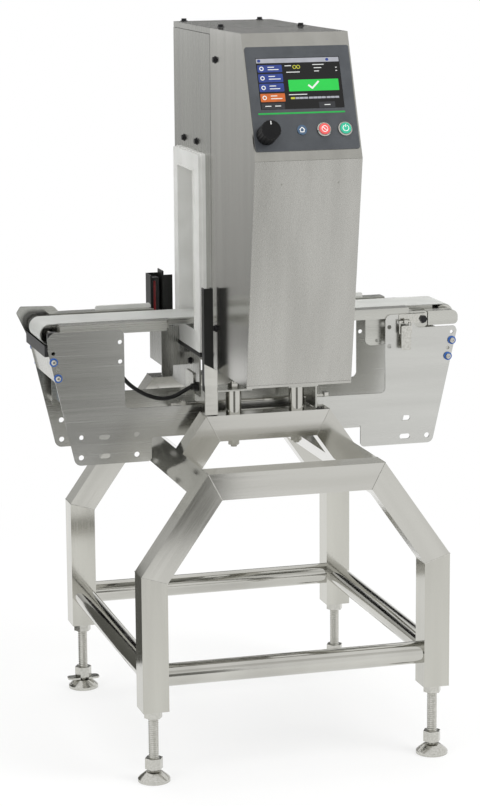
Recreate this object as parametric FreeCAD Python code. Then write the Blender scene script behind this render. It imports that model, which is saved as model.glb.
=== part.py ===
import FreeCAD, Part
import math
import os

# A conveyor metal detector: a detector head with a tunnel, carried on a tubular stand, and a
# short belt conveyor that runs through the tunnel.  Millimetres.  X runs along the conveyor,
# Y away from the operator, Z up from the floor.  The shapes are drawn about the middle of the
# stand and moved at the end so that the origin lies under the middle of the whole machine.

V = FreeCAD.Vector
X_AXIS = V(1, 0, 0)
Y_AXIS = V(0, 1, 0)
Z_AXIS = V(0, 0, 1)

# Stand
TUBE = 50.0
TUBE_WALL = 2.0
LEG_X = 300.0               # outer face of the legs
FRAME_Y = 330.0             # outer face of the front and rear frames
LEG_BOTTOM = 140.0
LEG_TOP = 400.0             # where the outer faces bend inward
RAIL_TOP = 584.5            # top of the front cross bar and the side rails
BRIDGE_TOP = 653.3          # top of the bars that carry the head
SLOPE = 55.0                # the diagonals' angle from level, in degrees
BRIDGE_Y = -141.0           # front face of the bridge
LOW_RAIL_Z = 204.0
LOW_RAIL_R = 21.35

# Feet
SPINDLE_R = 10.0
SPINDLE_TOP = 232.0
FOOT_HEX = 30.0
PAD_R = 31.0

# Detector head
HEAD_X = 100.0
HEAD_BOTTOM = 741.5
COIL_FRONT = -105.0
COIL_REAR = 165.0
COIL_TOP = 1369.5
CAP_TOP = 1381.0
PANEL_TOP = (-317.0, 1382.0)        # y and z of the sloped panel's upper edge
VISOR = (-405.0, 1161.5)            # y and z of its lower edge
COVER_FOOT = (-340.0, 746.5)
CONTROL_REAR = -107.0
SHEET = 2.0
TUNNEL_Y = 30.0                     # middle of the tunnel and of the belt
TUNNEL_HALF = 59.0
TUNNEL_LOW = 800.0
TUNNEL_HIGH = 1111.0
LINER = 2.5

# Conveyor
PLATE = 3.0
FRONT_PLATE_Y = -61.5
REAR_PLATE_Y = 118.5
PLATE_TOP = 816.0
PLATE_LOW = 556.5
ARM_IN = 262.0                      # inner edge of the plates' arms
ARM_OUT = 410.0
WEB_TOP = 661.5
WEB_LOW = 603.0
ROLLER_X = 397.0
ROLLER_Z = 806.0
ROLLER_R = 18.5             # inside of the belt where it goes round a roller
DRUM_R = 18.2               # the rollers, a running clearance smaller
BELT = 1.5
BELT_HALF = 50.0
RETURN_Z = 812.5                    # underside of the returning run
SLIDE_X = 335.0
SHAFT_R = 6.0
FIT = 0.05                          # radial clearance of a running fit
MOTOR_X = -330.0
MOTOR_Z = 690.0
PULLEY_R = 14.0
PULLEY_Y = (91.0, 107.0)

# Operator panel: x along the panel, s down it from its upper edge
KNOB = (-75.0, 190.0)
KNOB_R = 18.0
KNOB_HEIGHT = 40.0
HOME = (-7.5, 182.0)
STOP = (33.5, 182.5)
START = (72.8, 182.5)
CAP_R = 10.3
RING_R = 13.0
SCREEN = (-79.0, 77.0, 47.5, 143.0)
BEZEL = (-97.0, 97.0, 26.4, 219.5)
BEZEL_THICK = 2.0

PANEL_LENGTH = math.dist(PANEL_TOP, VISOR)
PANEL_ANGLE = math.degrees(math.atan2(PANEL_TOP[1] - VISOR[1], PANEL_TOP[0] - VISOR[0]))
PANEL = FreeCAD.Placement(V(0, PANEL_TOP[0], PANEL_TOP[1]), FreeCAD.Rotation(X_AXIS, PANEL_ANGLE))
PANEL_OUT = PANEL.Rotation.multVec(Z_AXIS)

# Draw latch on the front plate
LATCH_X = 300.0
LATCH_PIVOT = (-71.0, 790.0)        # y and z of the lever's pin
BAIL_PIVOT = (-71.0, 780.0)         # y and z of the bail's pin, on the lever

PLANES = {
    "xy": lambda u, v, w: V(u, v, w),
    "xz": lambda u, v, w: V(u, w, v),
    "yz": lambda u, v, w: V(w, u, v),
}


# ---------------------------------------------------------------- basic forms

def box(x, y, z):
    """A block between a pair of limits on each axis."""
    return Part.makeBox(x[1] - x[0], y[1] - y[0], z[1] - z[0], V(x[0], y[0], z[0]))


def placed(shape, point, axis):
    """A shape drawn along +Z at the origin, moved to a point and turned along an axis."""
    shape.Placement = FreeCAD.Placement(point, FreeCAD.Rotation(Z_AXIS, axis))
    return shape


def rod(point, axis, radius, length):
    return placed(Part.makeCylinder(radius, length), point, axis)


def ring(point, axis, outer, inner, length):
    return rod(point, axis, outer, length).cut(rod(point, axis, inner, length))


def hexagon(point, axis, across_flats, length):
    radius = across_flats / math.sqrt(3)
    corners = [V(radius * math.cos(math.pi * i / 3), radius * math.sin(math.pi * i / 3), 0) for i in range(7)]
    return placed(Part.Face(Part.makePolygon(corners)).extrude(V(0, 0, length)), point, axis)


def corner_arc(before, point, after, radius):
    """Start, middle and end of the arc that rounds a corner."""
    back = (before - point).normalize()
    ahead = (after - point).normalize()
    half = back.getAngle(ahead) / 2
    reach = radius / math.tan(half)
    inward = (back + ahead).normalize()
    middle = point + inward * (radius / math.sin(half) - radius)
    return point + back * reach, middle, point + ahead * reach


def rounded_edges(points, radii, closed):
    """Straight edges through the points, joined by tangent arcs."""
    count = len(points)
    stops = []
    for i, point in enumerate(points):
        is_end = not closed and i in (0, count - 1)
        if radii[i] == 0 or is_end:
            stops.append((point, None, point))
        else:
            stops.append(corner_arc(points[i - 1], point, points[(i + 1) % count], radii[i]))
    edges = []
    for i, (first, middle, last) in enumerate(stops):
        if middle is not None:
            edges.append(Part.Arc(first, middle, last).toShape())
        if closed or i < count - 1:
            following = stops[(i + 1) % count][0]
            if last.distanceToPoint(following) > 1e-6:
                edges.append(Part.LineSegment(last, following).toShape())
    return edges


def prism(corners, plane, span):
    """A profile of (u, v) or (u, v, radius) corners in a plane, extruded over a span."""
    to_space = PLANES[plane]
    points = [to_space(corner[0], corner[1], span[0]) for corner in corners]
    radii = [corner[2] if len(corner) > 2 else 0 for corner in corners]
    wire = Part.Wire(rounded_edges(points, radii, True))
    return Part.Face(wire).extrude(to_space(0, 0, span[1] - span[0]))


def rectangle(u, v, radius=0):
    return [(u[0], v[0], radius), (u[1], v[0], radius), (u[1], v[1], radius), (u[0], v[1], radius)]


def offset_path(points, distance):
    """A 2-D path moved to its left, mitred at the corners and square at the ends."""
    moved = []
    for i, point in enumerate(points):
        before = (point - points[i - 1]).normalize() if i > 0 else None
        after = (points[i + 1] - point).normalize() if i < len(points) - 1 else None
        first = before or after
        second = after or before
        bisector = (first + second).normalize()
        left = V(-bisector.y, bisector.x, 0)
        moved.append(point + left * (distance / left.dot(V(-first.y, first.x, 0))))
    return moved


def joined(*solids):
    return solids[0].fuse(list(solids[1:])).removeSplitter()


def group(*shapes):
    """Separate solids kept together in one sub-part."""
    return Part.makeCompound([solid for shape in shapes for solid in shape.Solids])


def other_end(shape):
    """The mirror image at the other end of the conveyor."""
    return shape.mirror(V(0, 0, 0), X_AXIS)


def both_ends(shape):
    return group(shape, other_end(shape))


def other_edge(shape):
    """The mirror image across the belt."""
    return shape.mirror(V(0, TUNNEL_Y, 0), Y_AXIS)


# ---------------------------------------------------------------- stand

def half_width(height):
    """How far out the diagonals' outer faces are at a height."""
    return LEG_X - (height - LEG_TOP) / math.tan(math.radians(SLOPE))


def frame_path(top, reaches_floor):
    right = [V(half_width(top), top, 0)]
    if reaches_floor:
        right = [V(LEG_X, LEG_BOTTOM, 0), V(LEG_X, LEG_TOP, 0)] + right
    else:
        right = [V(half_width(RAIL_TOP), RAIL_TOP, 0)] + right
    return right + [V(-point.x, point.y, 0) for point in reversed(right)]


def quad(corners, span):
    return prism([(corner.x, corner.y) for corner in corners], "xz", span)


def frame_tubes(outer, front):
    """Square tubes along an outer path in the X-Z plane, mitred where they meet."""
    inner = offset_path(outer, TUBE)
    skin = offset_path(outer, TUBE_WALL)
    core = offset_path(outer, TUBE - TUBE_WALL)
    tubes = []
    for i in range(len(outer) - 1):
        solid = quad([outer[i], outer[i + 1], inner[i + 1], inner[i]], (front, front + TUBE))
        cavity = quad([skin[i], skin[i + 1], core[i + 1], core[i]], (front + TUBE_WALL, front + TUBE - TUBE_WALL))
        tubes.append(solid.cut(cavity))
    return tubes


FRONT_TUBES = frame_tubes(frame_path(RAIL_TOP, True), -FRAME_Y)
REAR_TUBES = frame_tubes(frame_path(BRIDGE_TOP, True), FRAME_Y - TUBE)
BRIDGE_TUBES = frame_tubes(frame_path(BRIDGE_TOP, False), BRIDGE_Y)
PILLARS = [(62.5, BRIDGE_Y + TUBE / 2), (62.5, FRAME_Y - TUBE / 2)]
PILLAR_TOPS = [699.0, HEAD_BOTTOM - 3.0]
STUD_R = 6.0


def stand_legs():
    return group(FRONT_TUBES[0], FRONT_TUBES[4], REAR_TUBES[0], REAR_TUBES[4])


def stand_diagonals():
    return group(FRONT_TUBES[1], FRONT_TUBES[3], REAR_TUBES[1], REAR_TUBES[3], BRIDGE_TUBES[0], BRIDGE_TUBES[2])


def stand_cross_bars():
    bars = [FRONT_TUBES[2]]
    for bar, (x, y) in zip((BRIDGE_TUBES[1], REAR_TUBES[2]), PILLARS):
        for side in (-1, 1):
            bar = bar.cut(rod(V(side * x, y, BRIDGE_TOP - TUBE - 1), Z_AXIS, STUD_R + 0.3, TUBE + 2))
        bars.append(bar)
    return group(*bars)


def stand_rails():
    """Two square side rails set on the slope, and four round rails near the floor."""
    along = V(math.cos(math.radians(SLOPE)), -math.sin(math.radians(SLOPE)), 0)
    across = V(along.y, -along.x, 0)
    top = V(half_width(RAIL_TOP), RAIL_TOP, 0)
    span = (TUBE - FRAME_Y, FRAME_Y - TUBE)
    shells = []
    for inset in (0, TUBE_WALL):
        start = top + (along + across) * inset
        size = TUBE - 2 * inset
        shells.append(quad([start, start + along * size, start + (along + across) * size, start + across * size], span))
    rails = [both_ends(shells[0].cut(shells[1]))]
    bore = LOW_RAIL_R - TUBE_WALL
    middle = FRAME_Y - TUBE / 2
    reach = LEG_X - TUBE
    for side in (-1, 1):
        rails.append(ring(V(-reach, side * middle, LOW_RAIL_Z), X_AXIS, LOW_RAIL_R, bore, 2 * reach))
        start = V(side * (LEG_X - TUBE / 2), TUBE - FRAME_Y, LOW_RAIL_Z)
        rails.append(ring(start, Y_AXIS, LOW_RAIL_R, bore, 2 * (FRAME_Y - TUBE)))
    return group(*rails)


FOOT_X = LEG_X - TUBE / 2
FOOT_Y = FRAME_Y - TUBE / 2


def leg_end_nuts():
    """A plate inside each leg's end with the nut welded under it."""
    ends = []
    half = TUBE / 2 - TUBE_WALL
    for x in (-FOOT_X, FOOT_X):
        for y in (-FOOT_Y, FOOT_Y):
            plate = box((x - half, x + half), (y - half, y + half), (LEG_BOTTOM, LEG_BOTTOM + 6))
            nut = hexagon(V(x, y, LEG_BOTTOM - 16), Z_AXIS, FOOT_HEX, 16)
            bore = rod(V(x, y, LEG_BOTTOM - 17), Z_AXIS, SPINDLE_R + FIT, 24)
            ends.append(joined(plate, nut).cut(bore))
    return group(*ends)


def foot(x, y, anchored):
    """A levelling foot: cone pad, necked spindle with its hexagon and, at the rear, an anchor plate."""
    here = V(x, y, 0)
    rim = rod(here, Z_AXIS, PAD_R, 9)
    cone = Part.makeCone(PAD_R, 18, 11, here + V(0, 0, 9), Z_AXIS)
    neck = rod(here + V(0, 0, 20), Z_AXIS, 8, 5)
    hexed = hexagon(here + V(0, 0, 25), Z_AXIS, FOOT_HEX, 21)
    screw = rod(here + V(0, 0, 46), Z_AXIS, SPINDLE_R, SPINDLE_TOP - 46)
    pieces = [joined(rim, cone), joined(neck, hexed, screw)]
    if anchored:
        ears = prism(rectangle((x - 33, x + 33), (y - 12.5, y + 12.5), 12), "xy", (20, 24))
        hub = rod(here + V(0, 0, 20), Z_AXIS, 18, 4)
        plate = joined(ears, hub)
        for hole_x, hole_r in ((x, 8.3), (x - 25, 4.5), (x + 25, 4.5)):
            plate = plate.cut(rod(V(hole_x, y, 19), Z_AXIS, hole_r, 6))
        pieces.append(plate)
    return group(*pieces)


def foot_front_left():
    return foot(-FOOT_X, -FOOT_Y, False)


def foot_front_right():
    return foot(FOOT_X, -FOOT_Y, False)


def foot_rear_left():
    return foot(-FOOT_X, FOOT_Y, True)


def foot_rear_right():
    return foot(FOOT_X, FOOT_Y, True)


# ---------------------------------------------------------------- head supports

def head_standoffs():
    pillars = []
    for (x, y), top in zip(PILLARS, PILLAR_TOPS):
        pillars.append(ring(V(x, y, BRIDGE_TOP), Z_AXIS, 15, STUD_R + 0.3, top - BRIDGE_TOP))
    return both_ends(group(*pillars))


def standoff_studs():
    """Studs through the bars and pillars, with a washer and nut below and a nut on top."""
    studs = []
    under = BRIDGE_TOP - TUBE
    for (x, y), top in zip(PILLARS, PILLAR_TOPS):
        seat = top + 3
        shank = rod(V(x, y, under - 16), Z_AXIS, STUD_R, seat + 12 - under + 16)
        washer = rod(V(x, y, under - 2), Z_AXIS, 12, 2)
        low_nut = hexagon(V(x, y, under - 12), Z_AXIS, 19, 10)
        high_nut = hexagon(V(x, y, seat), Z_AXIS, 19, 9)
        studs.append(joined(shank, washer, low_nut, high_nut))
    return both_ends(group(*studs))


def head_mount_brackets():
    """Angle brackets between the front pillars and the head's underside."""
    brackets = []
    for side, lug_in in ((-1, 31), (1, 40)):
        x, y = PILLARS[0]
        outline = [(-130, 655), (-66, 655), (-66, 664.5), (-55, 664.5), (-55, HEAD_BOTTOM), (-130, HEAD_BOTTOM)]
        plate = prism(outline, "yz", (HEAD_X - PLATE, HEAD_X))
        lug = prism(rectangle((lug_in, HEAD_X), (BRIDGE_Y, -91), 4), "xy", (699, 702))
        flange = box((60, HEAD_X), (COIL_FRONT + 1, -55), (HEAD_BOTTOM - PLATE, HEAD_BOTTOM))
        bracket = joined(plate, lug, flange).cut(rod(V(x, y, 690), Z_AXIS, STUD_R + 0.3, 20))
        brackets.append(bracket if side > 0 else other_end(bracket))
    return group(*brackets)


def base_frame():
    """An inverted channel under the head, from behind the brackets to the rear pillars."""
    profile = [(HEAD_X, 664.5), (HEAD_X, HEAD_BOTTOM), (-HEAD_X, HEAD_BOTTOM), (-HEAD_X, 664.5)]
    channel = prism(profile, "xz", (-6, 290))
    inside = box((PLATE - HEAD_X, HEAD_X - PLATE), (-7, 291), (600, HEAD_BOTTOM - PLATE))
    tongue = box((PLATE - HEAD_X, HEAD_X - PLATE), (289, FRAME_Y), (HEAD_BOTTOM - PLATE, HEAD_BOTTOM))
    frame = joined(channel.cut(inside), tongue)
    x, y = PILLARS[1]
    for side in (-1, 1):
        frame = frame.cut(rod(V(side * x, y, 730), Z_AXIS, STUD_R + 0.3, 20))
    return frame.cut(rod(V(-HEAD_X - 1, 14, 682), X_AXIS, 6, 6))


def rubber_seals():
    """Strips under the tunnel flanges and the gasket under the coil housing's cap."""
    strip = box((HEAD_X, 113.5), (-65, 125), (754, 760.5))
    gasket = box((-98.5, 98.5), (COIL_FRONT + 1.5, COIL_REAR - 1.5), (COIL_TOP, COIL_TOP + 1))
    hole = box((-92, 92), (COIL_FRONT + 8, COIL_REAR - 8), (COIL_TOP - 1, COIL_TOP + 2))
    return group(both_ends(strip), gasket.cut(hole))


def locating_rod():
    """The cross rod that centres the conveyor, in two saddles, with a collar near its middle."""
    bar = rod(V(-170, -50, 661), X_AXIS, 5, 315)
    collar = rod(V(16, -50, 661), X_AXIS, 8, 16)
    pieces = [joined(bar, collar)]
    for x in (-150, 138):
        block = box((x, x + 8), (FRONT_PLATE_Y + PLATE, -42), (640, 669))
        pieces.append(block.cut(rod(V(x - 1, -50, 661), X_AXIS, 5, 10)))
    return group(*pieces)


# ---------------------------------------------------------------- conveyor frame

HOLES = [(-349, 571.5, 5.2), (-349, 610.5, 5.2), (-240, 571.5, 5.2), (-240, 610.5, 5.2), (349, 571.5, 5.2)]
WINDOW_HOLES = [(270, 754, 4.2), (270, 791.6, 4.2)]
SEAL_SCREWS = [(399.3, 759.6), (391.3, 728.2)]
PLAIN_HOLES = [(399.5, 776), (391.5, 744.5)]
SLOTS = [(303, 572), (303, 609)]


def slant_x(z):
    """The plates' slanted outer edge at a height."""
    return ARM_OUT - (780 - z) * 48 / 214


def plate_blank(left_arm, right_top, y):
    """A plate with two arms, an open window between them and a notch over the stand's rails."""
    foot_x = slant_x(PLATE_LOW)
    right_arm = [(ARM_IN, right_top, 12), (310, right_top, 5), (325, 788, 14), (406, 788, 5), (ARM_OUT, 779, 4)]
    window = [(-ARM_IN, WEB_TOP, 10), (ARM_IN, WEB_TOP, 10)]
    low = [(foot_x, PLATE_LOW, 13), (211, PLATE_LOW, 8), (211, WEB_LOW, 6)]
    low_left = [(-u, v, r) for u, v, r in reversed(low)]
    return prism(left_arm + window + right_arm + low + low_left, "xz", (y, y + PLATE))


def drilled(plate, y):
    for x, z, radius in HOLES + WINDOW_HOLES + [(-u, v, r) for u, v, r in WINDOW_HOLES]:
        plate = plate.cut(rod(V(x, y - 1, z), Y_AXIS, radius, PLATE + 2))
    for side in (-1, 1):
        for x, z in SEAL_SCREWS:
            plate = plate.cut(rod(V(side * x, y - 1, z), Y_AXIS, 3.3, PLATE + 2))
        for x, z in PLAIN_HOLES:
            plate = plate.cut(rod(V(side * x, y - 1, z), Y_AXIS, 3.5, PLATE + 2))
        for x, z in SLOTS:
            middle = side * x
            slot = prism(rectangle((middle - 10.75, middle + 10.75), (z - 5, z + 5), 4.99), "xz", (y - 1, y + PLATE + 1))
            plate = plate.cut(slot)
    return plate


def conveyor_front_plate():
    left_arm = [(-ARM_OUT, 780, 6), (-ARM_OUT, PLATE_TOP, 17), (-ARM_IN, PLATE_TOP, 12)]
    return drilled(plate_blank(left_arm, PLATE_TOP, FRONT_PLATE_Y), FRONT_PLATE_Y)


def conveyor_rear_plate():
    """Like the front plate, with a rounded ear that stands out round the drive roller."""
    ear = [(-ARM_OUT, 775, 10), (-434, 827, 5), (-426, 840, 6), (-360, 838, 12), (-346, 822, 8)]
    left_arm = ear + [(-ARM_IN, 822, 12)]
    return drilled(plate_blank(left_arm, 822.0, REAR_PLATE_Y), REAR_PLATE_Y)


def conveyor_brackets():
    """Hangers under the head's base, the motor's plate and the tab beside the latch."""
    inner_front = FRONT_PLATE_Y + PLATE
    tube = box((103, 133), (inner_front, REAR_PLATE_Y), (624, 654))
    bore = box((105, 131), (inner_front, REAR_PLATE_Y), (626, 652))
    tab = prism(rectangle((30, 90), (624, 705), 6), "yz", (HEAD_X, 103))
    hanger = joined(tube.cut(bore), tab)
    tab_profile = [(228, 808), (228, 754, 12), (270, 754, 12), (270, 808)]
    side_tab = prism(tab_profile, "xz", (-41, -38)).cut(rod(V(251, -42, 763), Y_AXIS, 3.3, 5))
    motor_plate = prism(rectangle((-374, -286), (646, 740), 8), "xz", (84, 87))
    motor_plate = motor_plate.cut(rod(V(MOTOR_X, 83, MOTOR_Z), Y_AXIS, 10, 5))
    posts = [rod(V(x, 87, z), Y_AXIS, 6, REAR_PLATE_Y - 87) for x, z in ((-366, 656), (-294, 656), (-294, 730))]
    return group(both_ends(hanger), side_tab, joined(motor_plate, *posts))


def end_crossplates():
    """Channels that tie the two plates together along the slanted ends."""
    low, high = 718, 769
    outer = [(slant_x(low) - 2, low), (slant_x(high) - 2, high)]
    inner = [(slant_x(high) - 26, high), (slant_x(low) - 26, low)]
    blank = prism(outer + inner, "xz", (FRONT_PLATE_Y + PLATE, REAR_PLATE_Y))
    pocket = prism([(u - PLATE, v) for u, v in outer] + [(u - PLATE, v) for u, v in inner], "xz",
                   (FRONT_PLATE_Y + 2 * PLATE, REAR_PLATE_Y - PLATE))
    pocket = pocket.fuse(pocket.translated(V(0, 0, 5))).fuse(pocket.translated(V(0, 0, -5)))
    plate = blank.cut(pocket)
    for x, z in SEAL_SCREWS:
        plate = plate.cut(rod(V(x, FRONT_PLATE_Y, z), Y_AXIS, 3.3, REAR_PLATE_Y - FRONT_PLATE_Y + PLATE))
    return both_ends(plate)


def each_seal_screw(make):
    """A shape at every sealed screw, on the front plate's face and on the rear plate's."""
    fronts = []
    for side in (-1, 1):
        for x, z in SEAL_SCREWS:
            fronts.append(make(side * x, z))
    return group(*fronts, *[other_edge(shape) for shape in fronts])


def seal_washers():
    return each_seal_screw(lambda x, z: ring(V(x, FRONT_PLATE_Y - 3, z), Y_AXIS, 8, 3.2, 3))


def seal_screws():
    """Round heads over the washers, threaded into the channel's flange."""
    def screw(x, z):
        head = rod(V(x, FRONT_PLATE_Y - 7, z), Y_AXIS, 5, 4)
        shank = rod(V(x, FRONT_PLATE_Y - 3, z), Y_AXIS, 3, 3 * PLATE)
        return joined(head, shank)
    return each_seal_screw(screw)


def belt_bed():
    """The folded sheet that the belt slides on, with spacers to the side members."""
    top = ROLLER_Z + ROLLER_R
    sheet = box((-372, 372), (TUNNEL_Y - 55, TUNNEL_Y + 55), (RETURN_Z + BELT + 0.5, top))
    under = box((-373, 373), (TUNNEL_Y - 53, TUNNEL_Y + 53), (RETURN_Z, top - SHEET))
    spacers = []
    for x in (-350, -190, 186, 296):
        front = box((x, x + 14), (TUNNEL_Y - 59, TUNNEL_Y - 54), (RETURN_Z + BELT + 0.5, top))
        spacers += [front, other_edge(front)]
    return joined(sheet.cut(under), *spacers)


def side_member(x_out, x_in, chamfer):
    """An inverted channel beside the bed, its inner end cut back at a slant."""
    front, back = FRONT_PLATE_Y + PLATE, -29
    plan = [(x_out, front), (x_out, back), (x_in, back), (x_in + math.copysign(chamfer, x_out), front)]
    solid = prism(plan, "xy", (808, 828))
    low, high = sorted((x_out, x_in))
    core = box((low - 5, high + 5), (front + SHEET, back - SHEET), (807, 828 - SHEET))
    ends = [box((x - 1.5, x + 1.5), (front, back), (807, 829)) for x in (x_out, x_in)]
    caps = [solid.common(end) for end in ends]
    return joined(solid.cut(core), *caps)


def bed_side_members():
    right = side_member(311.5, 166, 12)
    return group(side_member(-385, -166, 12), right, other_edge(side_member(-375, -166, 12)), other_edge(right))


def belt_guides():
    """Raised strips behind the belt and the bars that lift its returning run."""
    strips = [prism([(x0, 828), (x0, 836, 4), (x1, 836, 4), (x1, 828)], "xz", (105, 112))
              for x0, x1 in ((-279, -168), (168, 270))]
    profile = [(SLIDE_X - 6, 803), (SLIDE_X + 6, 803), (SLIDE_X + 6, 808, 3), (SLIDE_X, RETURN_Z, 2), (SLIDE_X - 6, RETURN_Z)]
    bar = prism(profile, "xz", (TUNNEL_Y - 59, TUNNEL_Y + 59))
    return group(*strips, both_ends(bar))


# ---------------------------------------------------------------- belt, rollers and drive

def loop_wire(inset):
    """The belt's side view, moved in from its outer surface by a distance."""
    radius = ROLLER_R + BELT - inset
    knee = V(SLIDE_X, RETURN_Z + inset, 0)
    centre = V(ROLLER_X, ROLLER_Z, 0)
    toward = knee - centre
    angle = math.atan2(toward.y, toward.x) + math.acos(radius / toward.Length)
    touch = centre + V(math.cos(angle), math.sin(angle), 0) * radius
    right = [touch, centre + V(radius, 0, 0), centre + V(0, radius, 0)]
    left = [V(-point.x, point.y, 0) for point in right]
    left_knee = V(-knee.x, knee.y, 0)
    edges = [Part.Arc(*right).toShape(), Part.LineSegment(right[2], left[2]).toShape()]
    edges.append(Part.Arc(left[2], left[1], left[0]).toShape())
    for start, end in ((left[0], left_knee), (left_knee, knee), (knee, right[0])):
        edges.append(Part.LineSegment(start, end).toShape())
    return Part.Wire(edges)


def upright(flat, y, width):
    """A flat X-Y shape stood up in the X-Z plane and extruded along Y."""
    turned = flat.copy()
    turned.rotate(V(0, 0, 0), X_AXIS, 90)
    turned.translate(V(0, y, 0))
    return Part.Face(turned).extrude(V(0, width, 0))


def conveyor_belt():
    start = TUNNEL_Y - BELT_HALF
    return upright(loop_wire(0), start, 2 * BELT_HALF).cut(upright(loop_wire(BELT), start, 2 * BELT_HALF))


def pulley(x, z, radius, bore, y):
    """A toothed-belt pulley with a rim at each side of its belt."""
    width = y[1] - y[0]
    body = rod(V(x, y[0], z), Y_AXIS, radius, width)
    rims = [rod(V(x, start, z), Y_AXIS, radius + 2.5, 1.5) for start in (y[0], y[1] - 1.5)]
    return joined(body, *rims).cut(rod(V(x, y[0] - 1, z), Y_AXIS, bore, width + 2))


def drive_roller():
    """The driven roller on its live shaft, with its pulley."""
    x = -ROLLER_X
    drum = rod(V(x, TUNNEL_Y - BELT_HALF - 2, ROLLER_Z), Y_AXIS, DRUM_R, 2 * BELT_HALF + 4)
    start = FRONT_PLATE_Y + PLATE + 1
    shaft = rod(V(x, start, ROLLER_Z), Y_AXIS, SHAFT_R, REAR_PLATE_Y - 1 - start)
    wheel = pulley(x, ROLLER_Z, PULLEY_R, SHAFT_R, PULLEY_Y)
    return group(joined(drum, shaft), wheel)


def drive_bearings():
    start = FRONT_PLATE_Y + PLATE
    blocks = []
    for y0, y1 in ((start, start + 14), (REAR_PLATE_Y - 9, REAR_PLATE_Y)):
        block = prism(rectangle((-ROLLER_X - 11.5, -ROLLER_X + 11.5), (791, 815.5), 6), "xz", (y0, y1))
        blocks.append(block.cut(rod(V(-ROLLER_X, y0 - 1, ROLLER_Z), Y_AXIS, SHAFT_R + FIT, y1 - y0 + 2)))
    return group(*blocks)


def tail_roller():
    start = V(ROLLER_X, TUNNEL_Y - BELT_HALF - 2, ROLLER_Z)
    length = 2 * BELT_HALF + 4
    drum = ring(start, Y_AXIS, DRUM_R, DRUM_R - 3, length)
    ends = [ring(start + V(0, y, 0), Y_AXIS, DRUM_R - 3, SHAFT_R + FIT, 12) for y in (0, length - 12)]
    return joined(drum, *ends)


def tail_axle():
    start = FRONT_PLATE_Y + PLATE + 8
    return rod(V(ROLLER_X, start, ROLLER_Z), Y_AXIS, SHAFT_R, 2 * (TUNNEL_Y - start))


def tail_arms():
    """Hinged arms that hold the tail axle, each in a forked bracket at the end of its side member."""
    front = FRONT_PLATE_Y + PLATE
    arm = prism([(351, 791, 2), (413, 791, 9), (413, 819, 13), (351, 819, 2)], "xz", (front, -26))
    tongue = prism([(327, 796, 4), (355, 796), (355, 814), (327, 814, 8)], "xz", (front + 9, front + 20))
    arm = joined(arm, tongue).cut(rod(V(ROLLER_X, front + 8, ROLLER_Z), Y_AXIS, SHAFT_R, 40))
    bracket = prism([(312, 790), (349, 790, 3), (349, 820, 5), (312, 820)], "xz", (front, -29))
    bracket = bracket.cut(box((322, 360), (front + 8.5, front + 20.5), (780, 830)))
    ear = prism([(316, 762, 5), (345, 762, 5), (345, 792), (316, 792)], "xz", (front, front + PLATE))
    bracket = joined(bracket, ear)
    pin_hole = rod(V(339, front - 1, 805), Y_AXIS, 4, 40)
    pieces = [arm.cut(pin_hole), bracket.cut(pin_hole)]
    return group(*pieces, *[other_edge(piece) for piece in pieces])


def scraper_bar():
    """A bar across the drive end, just under the belt."""
    profile = [(-415.5, 770), (-404, 770), (-404, 785.5), (-410, 787), (-415.5, 792)]
    return prism(profile, "xz", (FRONT_PLATE_Y + PLATE, REAR_PLATE_Y))


def gearmotor():
    """Motor, gearbox, terminal box and output shaft boss, under the drive end of the bed."""
    gearbox = prism(rectangle((MOTOR_X - 35, MOTOR_X + 35), (MOTOR_Z - 35, MOTOR_Z + 35), 8), "xz", (30, 84))
    motor = rod(V(MOTOR_X, -48, MOTOR_Z), Y_AXIS, 33, 79)
    terminals = box((MOTOR_X - 25, MOTOR_X + 30), (-30, 29), (MOTOR_Z + 24, MOTOR_Z + 62))
    return joined(gearbox, motor, terminals).cut(rod(V(MOTOR_X, 60, MOTOR_Z), Y_AXIS, SHAFT_R + FIT, 30))


def motor_pulley():
    shaft = rod(V(MOTOR_X, 62, MOTOR_Z), Y_AXIS, SHAFT_R, PULLEY_Y[1] - 62)
    return joined(shaft, pulley(MOTOR_X, MOTOR_Z, PULLEY_R, SHAFT_R, PULLEY_Y))


def timing_belt():
    """The loop round the two pulleys, a hair clear of both."""
    first = V(MOTOR_X, MOTOR_Z, 0)
    second = V(-ROLLER_X, ROLLER_Z, 0)
    along = (second - first).normalize()
    across = V(-along.y, along.x, 0)
    y = PULLEY_Y[0] + 2
    width = PULLEY_Y[1] - PULLEY_Y[0] - 4
    loops = []
    for radius in (PULLEY_R + 0.3, PULLEY_R + 2.0):
        a, b = first + across * radius, second + across * radius
        c, d = second - across * radius, first - across * radius
        edges = [Part.LineSegment(a, b).toShape(), Part.Arc(b, second + along * radius, c).toShape(),
                 Part.LineSegment(c, d).toShape(), Part.Arc(d, first - along * radius, a).toShape()]
        loops.append(upright(Part.Wire(edges), y, width))
    return loops[1].cut(loops[0])


# ---------------------------------------------------------------- draw latch

def latch_base():
    """The latch's base on the front plate, and the catch on the tail bracket."""
    face = FRONT_PLATE_Y
    y, z = LATCH_PIVOT
    sheet = prism(rectangle((290, 310), (750, 790), 3), "xz", (face - 1.5, face))
    cheek = prism([(face, 776), (face, z), (y - 2.5, z + 2.6), (y - 2.5, z - 6)], "yz", (292.5, 294))
    pin = rod(V(290, y, z), X_AXIS, 1.5, 20)
    base = joined(sheet, cheek, cheek.translated(V(13.5, 0, 0)), pin)
    strap = prism(rectangle((289, 347), (798, 816), 3), "xz", (face - 1.5, face))
    hook = prism([(face - 1, 799.5), (face - 1, 801.7), (-73.6, 801.7), (-73.6, 806), (-75.4, 806), (-75.4, 799.5)],
                 "yz", (296, 304))
    catch = joined(strap, hook).cut(rod(V(339, face - 2, 805), Y_AXIS, 4.2, 4))
    return group(base, catch)


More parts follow.
